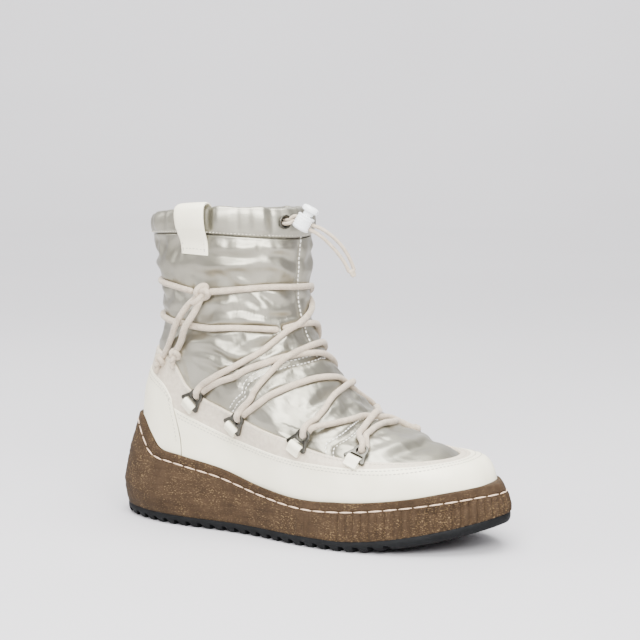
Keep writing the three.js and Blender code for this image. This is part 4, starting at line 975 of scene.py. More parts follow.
def padding(v, u):
    """Millimetres that the fabric stands out at each v and u."""
    points = skin_point(v, u).reshape(-1, 3)
    normals = skin_normal(v, u).reshape(-1, 3)
    vf, uf = v.ravel(), u.ravel()
    above = (vf - look_up(FACING_TOP, 1, one_side(uf))) * BOOT_HEIGHT
    found = [lace_tree.find(p) for p in points]
    lace_at = np.array([f[0] for f in found])
    lace_s = lace_along[np.array([f[1] for f in found])]
    lace_gap = np.array([f[2] for f in found])
    seam = np.array([seam_tree.find(p)[1:] for p in points])
    seam_gap = seam[:, 1]
    seam_s = seam_along[seam[:, 0].astype(int)]
    roll = noise_at(points, ROLL_SCALE)
    wave = noise_at(points, WAVE_SCALE, 31.0)
    off_lace = 1 - np.exp(-(lace_gap / FREE_OF_LACE) ** 2)
    off_seam = 1 - np.exp(-(seam_gap / FREE_OF_SEAM) ** 2)
    out = PADDING_FACE + ROLL * roll + WAVE * wave + FREE_RISE * off_lace * off_seam
    out += fold_relief(points)
    across = noise_at(np.stack([lace_s, lace_gap * 0.2, lace_s * 0], 1), (0.075, 0.075, 1.0), 7.0)
    out += LACE_GATHER * across * np.exp(-(np.maximum(lace_gap - 2.5, 0) / LACE_GATHER_REACH))
    gather = noise_at(np.stack([seam_s, seam_gap * 0.3, seam_s * 0], 1), (0.12, 0.12, 1.0), 3.0)
    out += SEAM_GATHER * gather * np.exp(-seam_gap / SEAM_GATHER_REACH)
    collar_gap = (COLLAR_SEAM - vf) * BOOT_HEIGHT
    pucker = noise_at(np.stack([uf * 400, collar_gap * 0.2, uf * 0], 1), (0.11, 0.11, 1.0), 17.0)
    out += COLLAR_GATHER * pucker * np.exp(-collar_gap / COLLAR_GATHER_REACH)
    out -= SEAM_DEPTH * np.exp(-(seam_gap / SEAM_WIDTH) ** 2)
    out -= BACK_FLAT * np.exp(-(one_side(uf) / BACK_WIDTH) ** 2) * fade(0.80, 0.88, vf)
    towards = lace_at - points
    lift = (towards * normals).sum(1)
    beside = np.linalg.norm(towards - normals * lift[:, None], axis=1)
    radius = LACE / 2
    valley = lift - 0.88 * radius + 0.34 * beside ** 2 / radius
    quiet = fade(-1.0, 9.0, above) * (1 - 0.9 * fade(0.895, 0.918, vf))
    out = out * quiet - 0.25 * (1 - fade(-2.0, 3.0, above))
    out = np.where(lace_gap < LACE_VALLEY_REACH, np.minimum(out, valley), out)
    return np.clip(out, PADDING_LOWEST, PADDING_HIGHEST).reshape(v.shape)


# The fabric, cut a little too large, swells between the laces, seams and panels that hold it
SWELL_FOOT = 0.10
SWELL_ROWS, SWELL_COLUMNS = 84, 168
SWELL_FRAMES = 22
SWELL_BENDING = 9.0
SWELL_PRESSURE = 4.0
SWELL_SHRINK = -0.03
RISE_LOWEST, RISE_HIGHEST = -1.4, 2.8
SIDEWAYS_MOST = 1.2
SMOOTHINGS = 2


def held_net(v, u):
    """How firmly each point of the fabric is held, from 0 to 1."""
    points = skin_point(v, u).reshape(-1, 3)
    lace_gap = np.array([lace_tree.find(p)[2] for p in points]).reshape(v.shape)
    seam_gap = np.array([seam_tree.find(p)[2] for p in points]).reshape(v.shape)
    above = (v - look_up(FACING_TOP, 1, one_side(u))) * BOOT_HEIGHT
    held = np.maximum(1 - fade(3.2, 4.6, lace_gap), 1 - fade(1.6, 2.8, seam_gap))
    held = np.maximum(held, 1 - fade(1.5, 3.5, above))
    return np.maximum(held, fade(0.893, 0.905, v))


def swelling():
    scene = bpy.context.scene
    heights = np.linspace(SWELL_FOOT, COLLAR_SEAM, SWELL_ROWS)
    v, u = np.meshgrid(heights, np.arange(SWELL_COLUMNS) / SWELL_COLUMNS, indexing="ij")
    normal = skin_normal(v, u)
    before = skin(v, u, padding(v, u))
    points, faces, _ = lattice(before)
    net = make_object("swelling_net", points, faces)
    held = net.vertex_groups.new(name="held")
    for k, weight in enumerate(held_net(v, u).ravel()):
        held.add([k], float(weight), "REPLACE")
    cloth = net.modifiers.new("cloth", "CLOTH")
    cloth.settings.quality = 5
    cloth.settings.bending_stiffness = SWELL_BENDING
    cloth.settings.use_pressure = True
    cloth.settings.uniform_pressure_force = SWELL_PRESSURE
    cloth.settings.effector_weights.gravity = 0.0
    cloth.settings.vertex_group_mass = "held"
    cloth.settings.shrink_min = SWELL_SHRINK
    cloth.point_cache.frame_start = 1
    cloth.point_cache.frame_end = SWELL_FRAMES
    for number in range(1, SWELL_FRAMES + 1):
        scene.frame_set(number)
    result = net.evaluated_get(bpy.context.evaluated_depsgraph_get()).data
    after = np.empty(len(points) * 3, np.float32)
    result.vertices.foreach_get("co", after)
    after = after.reshape(before.shape) / MM - SHIFT
    bpy.data.objects.remove(net)
    scene.frame_set(1)
    move = after - before
    rise = (move * normal).sum(-1)
    along = move - normal * rise[..., None]
    size = np.linalg.norm(along, axis=-1, keepdims=True)
    along = along * np.minimum(1.0, SIDEWAYS_MOST / np.maximum(size, 1e-6))
    move = along + normal * np.clip(rise, RISE_LOWEST, RISE_HIGHEST)[..., None]
    for _ in range(SMOOTHINGS):
        beside = np.roll(move, 1, 1) + np.roll(move, -1, 1)
        move[1:-1] = (move[2:] + move[:-2] + beside[1:-1] + 4 * move[1:-1]) / 8
    return move


def net_values(net, v, u):
    """Cubic blend of the coarse net's values at each v and u."""
    row = np.clip((v - SWELL_FOOT) / (COLLAR_SEAM - SWELL_FOOT) * (SWELL_ROWS - 1), 0, SWELL_ROWS - 1.001)
    column = (u % 1) * SWELL_COLUMNS
    i, j = row.astype(int), column.astype(int)

    def weights(t):
        return (((-0.5 * t + 1.0) * t - 0.5) * t, (1.5 * t - 2.5) * t * t + 1,
                ((-1.5 * t + 2.0) * t + 0.5) * t, (0.5 * t - 0.5) * t * t)

    total = np.zeros(v.shape + (3,))
    for m, down in enumerate(weights(row - i)):
        for n, across in enumerate(weights(column - j)):
            at = net[np.clip(i + m - 1, 0, SWELL_ROWS - 1), (j + n - 1) % SWELL_COLUMNS]
            total += at * (down * across)[..., None]
    return total * fade(SWELL_FOOT, SWELL_FOOT + 0.04, v)[..., None]


COLUMNS = 420
ROWS = 190
FABRIC_INSIDE = -2.2
turns = np.arange(COLUMNS) / COLUMNS
heights = np.linspace(0, COLLAR_SEAM, ROWS)
grid_v, grid_u = np.meshgrid(heights, turns, indexing="ij")
outer = skin(grid_v, grid_u, padding(grid_v, grid_u))
outer = outer + net_values(swelling(), grid_v, grid_u)
inner = skin(grid_v[::-4], grid_u[::-4], FABRIC_INSIDE)
points, faces, uv = lattice(np.concatenate([outer, inner]), loop_rows=True)
padded_upper = make_object("padded_upper", points, faces, uv)
finish_piece(padded_upper, SILVER, ["upper"])

# Lining inside the shaft, with a little pile
LINING_BACK = -2.5
LINING_FACE = -4.2
lining_v, lining_u = np.meshgrid(np.linspace(0.0, 0.925, 90), np.arange(200) / 200, indexing="ij")
pile = noise_at(skin_point(lining_v, lining_u).reshape(-1, 3), (0.25, 0.25, 0.25)).reshape(lining_v.shape)
lining_back = skin(lining_v, lining_u, LINING_BACK)
lining_face = skin(lining_v[::-1], lining_u, LINING_FACE + 0.35 * pile[::-1])
points, faces, uv = lattice(np.concatenate([lining_back, lining_face]), loop_rows=True)
finish_piece(make_object("fleece_lining", points, faces, uv), LINING, ["upper"])


# Insole with a soft rounded rim
def insole():
    around = np.arange(200) / 200
    rows = []
    for inset, rise in ((4.3, 0.0), (4.35, 1.6), (4.7, 2.7), (5.6, 3.3), (7.5, 3.5)):
        ring = skin_level(0 * around, around, np.full(200, -inset))
        ring[:, 2] += rise
        rows.append(ring)
    points, faces, uv = lattice(np.array(rows), cap="strips")
    finish_piece(make_object("felt_insole", points, faces, uv), FELT, ["insole"])


insole()


# Collar: the puffed drawcord channel, gathered on its cord, higher on the outer side
def rim_tilt(v, u):
    return RIM_TILT * np.cos(2 * np.pi * (u - 0.39)) * fade(0.93, 1.0, v)


COLLAR_FOOT = COLLAR_SEAM + 0.003
COLLAR_COLUMNS = 560
COLLAR_GATHERS = 2.2
COLLAR_SWELL = 0.6
SECTION_SCALE = 240


def collar():
    wall = -UPPER_WALL
    foot = COLLAR_FOOT
    puff = TUNNEL_PUFF - 0.8
    section = [[foot, -0.2], [0.93, puff * 0.55], [0.945, puff * 0.95], [0.965, puff],
               [0.985, puff * 0.55], [0.997, -0.6], [0.999, wall / 2 - 0.6], [0.994, wall - puff * 0.15],
               [0.980, wall - puff * 0.5], [0.955, wall - puff * 0.6], [foot, wall + 0.2]]
    even = [[(v - 1) * SECTION_SCALE, out, 0] for v, out in section]
    line = even_points(smooth_curve(even, 200), 0.5)
    v = line[:, 0] / SECTION_SCALE + 1
    out = line[:, 1]
    around = np.arange(COLLAR_COLUMNS) / COLLAR_COLUMNS
    grid_v, grid_u = np.meshgrid(v, around, indexing="ij")
    grid_out = np.repeat(out[:, None], COLLAR_COLUMNS, 1)
    points = skin_point(0.96 + 0 * around, around)
    gathers = noise_at(points, (0.075, 0.075, 0.1), 11.0) + 0.5 * noise_at(points, (0.17, 0.17, 0.1), 5.0)
    swell = noise_at(points, (0.030, 0.030, 0.030), 23.0)
    back = np.exp(-(one_side(around) / BACK_WIDTH) ** 2)
    reach = np.clip((v - foot) / 0.02, 0, 1) * np.where(out > wall / 2, 1, 0.7)
    body = np.sin(np.clip((v - foot) / (1.0 - foot), 0, 1) * np.pi * 0.9)
    side = np.sign(out - wall / 2)
    ripple = COLLAR_GATHERS * gathers + COLLAR_SWELL * swell - 0.6 * back
    lift = side[:, None] * ripple[None] * (reach * (0.35 + body))[:, None]
    rows = skin_level(grid_v, grid_u, grid_out + lift)
    crest = fade(0.95, 1.0, v)[:, None] * (1.1 * swell + 1.0 * gathers)[None]
    rows[..., 2] += crest + rim_tilt(grid_v, grid_u)
    points, faces, uv = lattice(np.swapaxes(rows, 0, 1), loop_rows=True)
    return make_object("gathered_collar", points, faces, uv)


def eyelet_place():
    v, u = EYELET_PLACE
    normal = skin_normal(v, u)
    normal[2] = 0
    return skin(v, u, TUNNEL_PUFF), unit(normal)


def basis_to(z):
    z = unit(z)
    x = unit(np.cross((0, 0, 1), z))
    return x, np.cross(z, x), z


def turned(profile, segments, matrix, loop=False):
    """Points turned round the z axis of a frame, from a profile of radius and height."""
    angle = np.linspace(0, 2 * np.pi, segments, endpoint=False)
    rows = [[[r * math.cos(a), r * math.sin(a), h] for a in angle] for r, h in profile]
    return lattice(placed_rows(matrix, rows), loop_rows=loop, cap=None if loop else "plain")


def cut(obj, parts):
    """Takes solids out of a piece."""
    cutter = joined_object("cutter", parts, smooth=False)
    modifier = obj.modifiers.new("cut", "BOOLEAN")
    modifier.operation = "DIFFERENCE"
    modifier.solver = "EXACT"
    modifier.object = cutter
    settle(obj)
    bpy.data.objects.remove(cutter)
    return obj


def settle(obj):
    """Turns what the modifiers make into the piece's own mesh."""
    graph = bpy.context.evaluated_depsgraph_get()
    mesh = bpy.data.meshes.new_from_object(obj.evaluated_get(graph), depsgraph=graph)
    old = obj.data
    obj.modifiers.clear()
    obj.data = mesh
    mesh.name = obj.name
    bpy.data.meshes.remove(old)
    return obj


# Eyelet: a rolled washer and its barrel, as radius and height
EYELET_HOLE = 3.0
WASHER_RADIUS, WASHER_ROLL, WASHER_HEIGHT = 3.75, 0.85, 0.7
EYELET_BARREL = [[2.85, -2.5], [3.1, -2.5], [3.1, 0.7], [2.85, 0.7]]
EYELET_SEGMENTS = 56
tunnel = collar()
eyelet_centre, eyelet_normal = eyelet_place()
eyelet_frame = frame_matrix(*basis_to(eyelet_normal), eyelet_centre)
cut(tunnel, [turned([[EYELET_HOLE, -5.0], [EYELET_HOLE, 6.0]], 40, eyelet_frame)])
finish_piece(tunnel, SILVER, ["collar_tunnel"])
washer = [[WASHER_RADIUS + WASHER_ROLL * math.cos(a), WASHER_HEIGHT + WASHER_HEIGHT * math.sin(a)]
          for a in np.linspace(0, 2 * np.pi, 18, endpoint=False)]
eyelet = joined_object("metal_eyelet", [turned(profile, EYELET_SEGMENTS, eyelet_frame, loop=True)
                                        for profile in (washer, EYELET_BARREL)])
finish_piece(eyelet, GUNMETAL, ["collar_eyelet"])


# Leather panels with soft turned edges
PANEL_ROWS = 26
PANEL_SEAT = 0.35
BEAD_REACH = 0.55


def panel(name, around, low, high, thickness, material, node, loop, seat=PANEL_SEAT):
    out = SEAT_GAP + thickness
    share = np.linspace(0, 1, PANEL_ROWS)
    low, high = np.broadcast_to(low, around.shape), np.broadcast_to(high, around.shape)
    v = low + (high - low) * share[:, None]
    u = np.repeat(around[None], PANEL_ROWS, 0)
    outer = skin(v, u, np.full(v.shape, out))
    step = 0.002
    rise = np.linalg.norm(skin_point(high, around) - skin_point(high - step, around), axis=1) / step
    bead = []
    for angle in np.linspace(15, 90, 5):
        a = math.radians(angle)
        reach = thickness * BEAD_REACH * math.sin(a) / rise
        bead.append(skin(high + reach, around, np.full(around.shape, seat + (out - seat) * math.cos(a))))
    inner = skin(v[::-6], u[::-6], np.full(v[::-6].shape, seat))
    grid = np.concatenate([outer, np.array(bead), inner])
    if loop:
        points, faces, uv = lattice(grid, loop_rows=True)
    else:
        points, faces, uv = lattice(np.swapaxes(grid, 0, 1), cap="plain")
    return finish_piece(make_object(name, points, faces, uv, crease=50), material, [node])


PANEL_FOOT = 0.02
EDGE_PLAY = 0.0005
front_u = np.linspace(COUNTER_EDGE + EDGE_PLAY, 1 - COUNTER_EDGE - EDGE_PLAY, 420)
back_u = np.linspace(-COUNTER_EDGE + EDGE_PLAY, COUNTER_EDGE - EDGE_PLAY, 160)
band_u = np.arange(600) / 600
panel("leather_mudguard", front_u, PANEL_FOOT, look_up(MUDGUARD_TOP, 1, one_side(front_u)), OVERLAY, CREAM,
      "mudguard", False)
panel("leather_heel_counter", back_u, PANEL_FOOT, look_up(COUNTER_TOP, 1, one_side(back_u)), OVERLAY + 0.1,
      CREAM, "heel_counter", False)
under = np.where(one_side(band_u) < COUNTER_EDGE, look_up(COUNTER_TOP, 1, one_side(band_u)),
                 look_up(MUDGUARD_TOP, 1, one_side(band_u)))
panel("facing_band", band_u, under - PANEL_FOOT, look_up(FACING_TOP, 1, one_side(band_u)), FACING, BEIGE,
      "facing", True, seat=-0.4)


# Sole: brown cup with a rounded lip, ribs round the toe and a wavy side
def plan_gap(points, outline):
    """Distance in plan from each point to a closed outline, negative inside it."""
    p = points[:, None, :2]
    a = outline[None, :, :2]
    b = np.roll(outline, -1, 0)[None, :, :2]
    edge = b - a
    t = np.clip(((p - a) * edge).sum(2) / (edge ** 2).sum(2), 0, 1)
    gap = np.linalg.norm(p - a - edge * t[..., None], axis=2).min(1)
    above = a[..., 1] > p[..., 1]
    crosses = above != (b[..., 1] > p[..., 1])
    height = np.where(crosses, edge[..., 1], 1.0)
    right = p[..., 0] < a[..., 0] + (p[..., 1] - a[..., 1]) / height * edge[..., 0]
    inside = (crosses & right).sum(1) % 2 == 1
    return np.where(inside, -gap, gap)


def room_for_upper(around, out, z):
    """Millimetres by which the wall has to stand further out, to keep clear of the upper inside it."""
    seat = skin_level(skin_at_height(around, z), around, np.full(around.shape, SEAT_GAP + OVERLAY + 0.9))
    push = np.maximum(PLAY_ROUND_UPPER - plan_gap(sole_point(around, out, z), seat), 0)
    push = np.where(z > skin_point(0, around)[:, 2], push, 0)
    window = 15
    return np.convolve(np.concatenate([push[-window:], push, push[:window]]), np.ones(window) / window,
                       "same")[window:-window]


MIDSOLE_COLUMNS = 900
WALL_TOP = 0.955
RIB_RISE, RIB_SHARPNESS, RIB_SINK = 2.0, 0.6, 1.45
SIDE_WAVE = 0.22
STITCH_DEPTH = 5.6
GROOVE_WIDTH, GROOVE_DEPTH = 0.7, 0.7
LIP_CROWN = ((0.12, 0.42), (0.28, 0.68), (0.48, 0.72), (0.70, 0.60), (0.88, 0.2))
WALL_SHARES = [0.0, 0.12, 0.26, 0.6, 0.86, WALL_TOP]
TESTED_SHARES = np.array([0.40, 0.50, 0.60, 0.68, 0.76, 0.84, 0.90, WALL_TOP])


def midsole():
    """Makes the cup and gives back the line along which it is stitched."""
    columns = MIDSOLE_COLUMNS
    around = np.arange(columns) / columns
    x, y, q = sole_raw(around)
    bottom = spring(q) + OUTSOLE_THICKNESS + 0.05
    lip = look_up(LIP, 1, q) * BOOT_HEIGHT
    inset = look_up(LIP, 2, q) * BALL_WIDTH
    bulge = WALL_BULGE * (1 - fade(0.05, 0.45, q))
    edge = np.concatenate([[0], np.cumsum(np.hypot(np.diff(x), np.diff(y)))])
    toe = fade(0.50, 0.60, q)
    out_at = [0 * q, bulge * 0.7, bulge, bulge * 0.5 - inset * 0.35, -inset * 0.8, -inset]
    shares = np.linspace(0, WALL_TOP, 60)
    outs = np.array([np.interp(shares, WALL_SHARES, [o[k] for o in out_at]) for k in range(columns)]).T
    pushes = []
    for s in TESTED_SHARES:
        at_share = np.array([np.interp(s, shares, outs[:, k]) for k in range(columns)])
        z = bottom + (lip - LIP_STEP - bottom) * s / WALL_TOP
        pushes.append(room_for_upper(around, at_share, z))
    pushes = np.array(pushes)
    room = [np.interp(shares, TESTED_SHARES, pushes[:, k], left=0.0) for k in range(columns)]
    outs = outs + np.array(room).T
    rib_turn = edge / RIB_PITCH * np.pi + 0.35 * np.sin(edge / 17.0)
    ribs = RIB_RISE * np.abs(np.sin(rib_turn)) ** RIB_SHARPNESS - RIB_SINK
    rows = []
    for k, s in enumerate(shares):
        z = bottom + (lip - LIP_STEP - bottom) * s / WALL_TOP
        depth = lip - z
        rib_zone = toe * fade(6.2, 8.0, depth) * fade(0.0, 1.2, z - bottom)
        level = z - 6.0 * q
        grain = noise_at(np.stack([edge, level, 0 * edge], 1), (0.03, 0.32, 1.0), 3.0)
        lines = np.minimum(np.sin(level * 1.25 + grain * 5.0), 0.1) * (1 - toe) * fade(7.0, 9.5, depth)
        groove = np.exp(-((depth - STITCH_DEPTH) / GROOVE_WIDTH) ** 2) * GROOVE_DEPTH
        foot = np.exp(-((z - bottom) / 0.7) ** 2) * 0.35
        out = outs[k] + ribs * rib_zone + SIDE_WAVE * lines * fade(0.5, 2.5, z - bottom) - groove - foot
        rows.append(sole_point(around, out, z))
    outer_top = sole_point(around, outs[-1], lip - LIP_STEP)
    panel_out = np.full(columns, SEAT_GAP + OVERLAY + 0.15)
    top = skin_at_height(around, lip - LIP_STEP)
    inner_top = skin_level(top, around, panel_out)
    rows[-1] = outer_top
    for share, rise in LIP_CROWN:
        ring = outer_top * (1 - share) + inner_top * share
        ring[:, 2] += rise
        rows.append(ring)
    rows.append(inner_top)
    for share in (0.7, 0.35, 0.08):
        rows.append(skin_level(top * share, around, panel_out))
    ring = skin_level(0 * around, around, panel_out)
    ring[:, 2] -= 0.3
    rows.append(ring)
    points, faces, uv = lattice(np.array(rows), cap="strips")
    finish_piece(make_object("cork_look_midsole", points, faces, uv), CORK, ["midsole"])
    share = (lip - STITCH_DEPTH - bottom) / (lip - LIP_STEP - bottom) * WALL_TOP
    out = np.array([np.interp(share[k], shares, outs[:, k]) for k in range(columns)])
    return sole_point(around, out - 0.15, lip - STITCH_DEPTH)


sole_stitch_line = midsole()


OUTSOLE_COLUMNS = 360
TOOTHED_SHARE = 0.84
TOOTH_ROOF = 0.7
TOOTH_BEND = 3.5
TOOTH_SECTION = [(-1.5, 0.4), (1.3, 0.0), (6.4, -7.0), (-3.0, -7.0)]
CENTRE_SECTION = ((-2.4, 1.9), (2.4, 1.9), (2.9, -5.0), (-2.9, -5.0))
OUTSOLE_EDGE = ((-3.6, 0.0), (-2.6, 0.05), (-1.5, 0.55), (-0.7, 1.5), (-0.15, 2.8), (0.0, 4.0),
                (0.0, OUTSOLE_THICKNESS - 0.5), (-0.4, OUTSOLE_THICKNESS))


def outsole():
    around = np.arange(OUTSOLE_COLUMNS) / OUTSOLE_COLUMNS
    _, _, q = sole_raw(around)
    rows = [sole_point(around, out, spring(q) + rise) for out, rise in OUTSOLE_EDGE]
    points, faces, uv = lattice(np.array(rows), cap="strips")
    plate = make_object("lugged_outsole", points, faces, uv, crease=40)
    grooves = []
    for k in range(1, int((SOLE_LENGTH * TOOTHED_SHARE) / TOOTH_PITCH)):
        x = -SOLE_LENGTH / 2 + k * TOOTH_PITCH
        share = x / SOLE_LENGTH + 0.5
        roof = float(spring(np.array(share))) + TREAD_DEPTH + TOOTH_ROOF
        slope = float(spring(np.array(share + 0.01)) - spring(np.array(share - 0.01))) / (0.02 * SOLE_LENGTH)
        for lean, y0, y1 in ((1, -60, -3.0), (-1, 3.0, 60)):
            ends = []
            for y, push in ((y0, 0.0), (y0 + (y1 - y0) * 0.5, TOOTH_BEND * lean), (y1, 0.0)):
                ends.append([[x + px + push, y, roof + pz + slope * px] for px, pz in TOOTH_SECTION])
            grooves.append(lattice(np.array(ends), cap="plain"))
    centre = [[[x, y, z] for y, z in CENTRE_SECTION] for x in (-SOLE_LENGTH * 0.42, 0.0, SOLE_LENGTH * 0.13)]
    grooves.append(lattice(np.array(centre), cap="plain"))
    cut(plate, grooves)
    finish_piece(plate, RUBBER, ["outsole"])


outsole()


# Rings and their leather tabs
def flat_shape(name, outlines, depth, bevel):
    """Solid plate with rounded rims from closed outlines in its own plane."""
    curve = bpy.data.curves.new(name, "CURVE")
    curve.dimensions = "2D"
    curve.fill_mode = "BOTH"
    curve.extrude = depth / 2 - bevel
    curve.bevel_depth = bevel
    curve.bevel_resolution = 2
    curve.offset = -bevel
    for outline in outlines:
        spline = curve.splines.new("POLY")
        spline.points.add(len(outline) - 1)
        spline.use_cyclic_u = True
        for k, (x, y) in enumerate(outline):
            spline.points[k].co = (x, y, 0, 1)
    obj = bpy.data.objects.new(name, curve)
    bpy.context.scene.collection.objects.link(obj)
    graph = bpy.context.evaluated_depsgraph_get()
    mesh = bpy.data.meshes.new_from_object(obj.evaluated_get(graph), depsgraph=graph)
    bpy.data.objects.remove(obj)
    bm = bmesh.new()
    bm.from_mesh(mesh)
    bmesh.ops.remove_doubles(bm, verts=bm.verts, dist=0.01)
    bmesh.ops.recalc_face_normals(bm, faces=bm.faces)
    points = np.array([v.co[:] for v in bm.verts])
    faces = [[v.index for v in f.verts] for f in bm.faces]
    bm.free()
    bpy.data.meshes.remove(mesh)
    return points, faces


def arc(cx, cy, r, a0, a1, count):
    return [(cx + r * math.cos(math.radians(a)), cy + r * math.sin(math.radians(a)))
            for a in np.linspace(a0, a1, count)]


RING_FOOT = 1.55
RING_BEVEL = 0.45


def ring_outline():
    half = RING_BASE / 2
    crown = LACE_HOLE / 2 + RING_WIRE
    outline = arc(-half + RING_FOOT, 0.3, RING_FOOT, 140, 290, 9)
    outline += arc(half - RING_FOOT, 0.3, RING_FOOT, -110, 40, 9)
    outline += [(crown * 0.99, HOLE_Y - 1.4)]
    outline += arc(0, HOLE_Y, crown, 0, 180, 21)
    outline += [(-crown * 0.99, HOLE_Y - 1.4)]
    hole = arc(0, HOLE_Y, LACE_HOLE / 2, 0, 345, 24)
    top = HOLE_Y - LACE_HOLE / 2 - RING_WIRE * 0.55
    slot = [(-half + 2.9, RING_WIRE / 2), (-half + 3.4, top - 0.4), (-half + 3.9, top), (half - 3.9, top),
            (half - 3.4, top - 0.4), (half - 2.9, RING_WIRE / 2)]
    return [outline, hole, slot]


def tab_parts(matrix):
    """A folded strip: from the seam over the bar and back under it."""
    half, thick = TAB_WIDTH / 2, TAB_LEATHER
    low = -RING_LIFT + 0.2
    path = [(-TAB_LENGTH - 1.2, low + 0.9), (-4.6, low + 1.25), (-3.0, low + 2.2), (-1.7, 1.35), (-0.3, 1.85),
            (1.1, 1.45), (1.75, 0.2), (1.3, -1.0), (0.0, -1.5), (-2.4, -1.75), (-TAB_LENGTH, low + 0.1)]
    seen = [[max(a, -TAB_SEEN), b, 0] for a, b in path]
    line = even_points(smooth_curve(seen, 120), 0.35)[:, :2]
    tangent = unit(np.gradient(line, axis=0))
    normal = np.stack([-tangent[:, 1], tangent[:, 0]], 1)
    section = [(-half, -0.35), (-half + 0.25, -0.5), (half - 0.25, -0.5), (half, -0.35), (half, 0.35),
               (half - 0.25, 0.5), (-half + 0.25, 0.5), (-half, 0.35)]
    rows = []
    for (y, z), (ny, nz) in zip(line, normal):
        rows.append([[w, y + ny * h * thick * 0.9, z + nz * h * thick * 0.9] for w, h in section])
    return [lattice(placed_rows(matrix, rows), cap="plain")]


ring_points, ring_faces = flat_shape("ring_shape", ring_outline(), RING_THICKNESS, RING_BEVEL)
for side in ("outer", "inner"):
    for number in range(1, 5):
        m = ring_frame(number, side)
        name = f"{side}_{number}"
        ring = make_object(f"metal_ring_{name}", placed(m, ring_points), ring_faces, crease=35)
        finish_piece(ring, GUNMETAL, [f"lace_ring_{name}"])
        tab = joined_object(f"leather_tab_{name}", tab_parts(m), crease=50)
        finish_piece(tab, CREAM, [f"ring_tab_{name}"])


# Pull loop: strap sewn outside, over the collar, sewn inside
STRAP_THICKNESS = 1.25
STRAP_POINTS = 19
STRAP_SPAN = 0.12


def pull_loop():
    """Makes the strap and gives back its seams: across its foot and up both edges."""
    rise_unit = skin_point(1.0, STRAP_EDGES[1])[2] - skin_point(1.0 - STRAP_SPAN, STRAP_EDGES[1])[2]
    wall = -UPPER_WALL
    puff = TUNNEL_PUFF
    far = wall - puff * 0.6 - 2.0
    path = [[0.9, 0.858], [1.0, 0.895], [puff * 0.7 + 1.2, 0.925], [puff + 2.1, 0.95], [puff + 2.3, 0.98],
            [puff * 0.7 + 1.2, 1.004], [wall * 0.4, 1.010], [wall - puff * 0.4, 1.002], [far, 0.985],
            [far, 0.95], [wall - 2.3, 0.92], [wall - 1.8, 0.88]]
    flat = [[out, (v - 1) / STRAP_SPAN * rise_unit, 0] for out, v in path]
    line = even_points(smooth_curve(flat, 240), 0.8)[:, :2]
    tangent = unit(np.gradient(line, axis=0))
    square = np.stack([tangent[:, 1], -tangent[:, 0]], 1)
    if square[0, 0] < 0:
        square = -square
    across = np.linspace(STRAP_EDGES[0], STRAP_EDGES[2], STRAP_POINTS)
    soft = 1 - np.abs(np.linspace(-1, 1, STRAP_POINTS)) ** 10 * 0.35

    def place(out, rise, u):
        v = np.minimum(1 + rise / rise_unit * STRAP_SPAN, 1.0)
        p = skin_level(v, u, out)
        p[..., 2] += np.maximum(rise, 0) + rim_tilt(v, u)
        return p

    rows = []
    for (out, rise), n in zip(line, square):
        top = place(out + n[0] * STRAP_THICKNESS * soft, rise + n[1] * STRAP_THICKNESS * soft, across)
        low = place(out + 0 * across, rise + 0 * across, across)[::-1]
        rows.append(np.concatenate([top, low]))
    rows = np.array(rows)
    points, faces, uv = lattice(rows, cap="plain")
    strap = make_object("leather_pull_loop", points, faces, uv, crease=50)
    finish_piece(strap, CREAM, ["pull_loop"])
    return [rows[4, 2:17], rows[3:9, 2], rows[3:9, 16]]


strap_lines = pull_loop()


# Cord lock and its spring button
LOCK_HALF = 4.9
LOCK_RADIUS = 5.7
LOCK_WELL = 3.6
LOCK_FLOOR = 1.4
LOCK_SEGMENTS = 56
BUTTON_TRAVEL = 2.4
BUTTON_PLAY = 0.3
BUTTON_STEM = 3.3
BUTTON_CAP = 4.0
CORD_HOLE = (1.95, 3.35, 0.8)
HOLE_REACH = (-9.0, 0.0, 9.0)


def arc_box(w, h, r):
    return (arc(w - r, h - r, r, 0, 90, 5) + arc(-w + r, h - r, r, 90, 180, 5)
            + arc(-w + r, -h + r, r, 180, 270, 5) + arc(w - r, -h + r, r, 270, 360, 5))


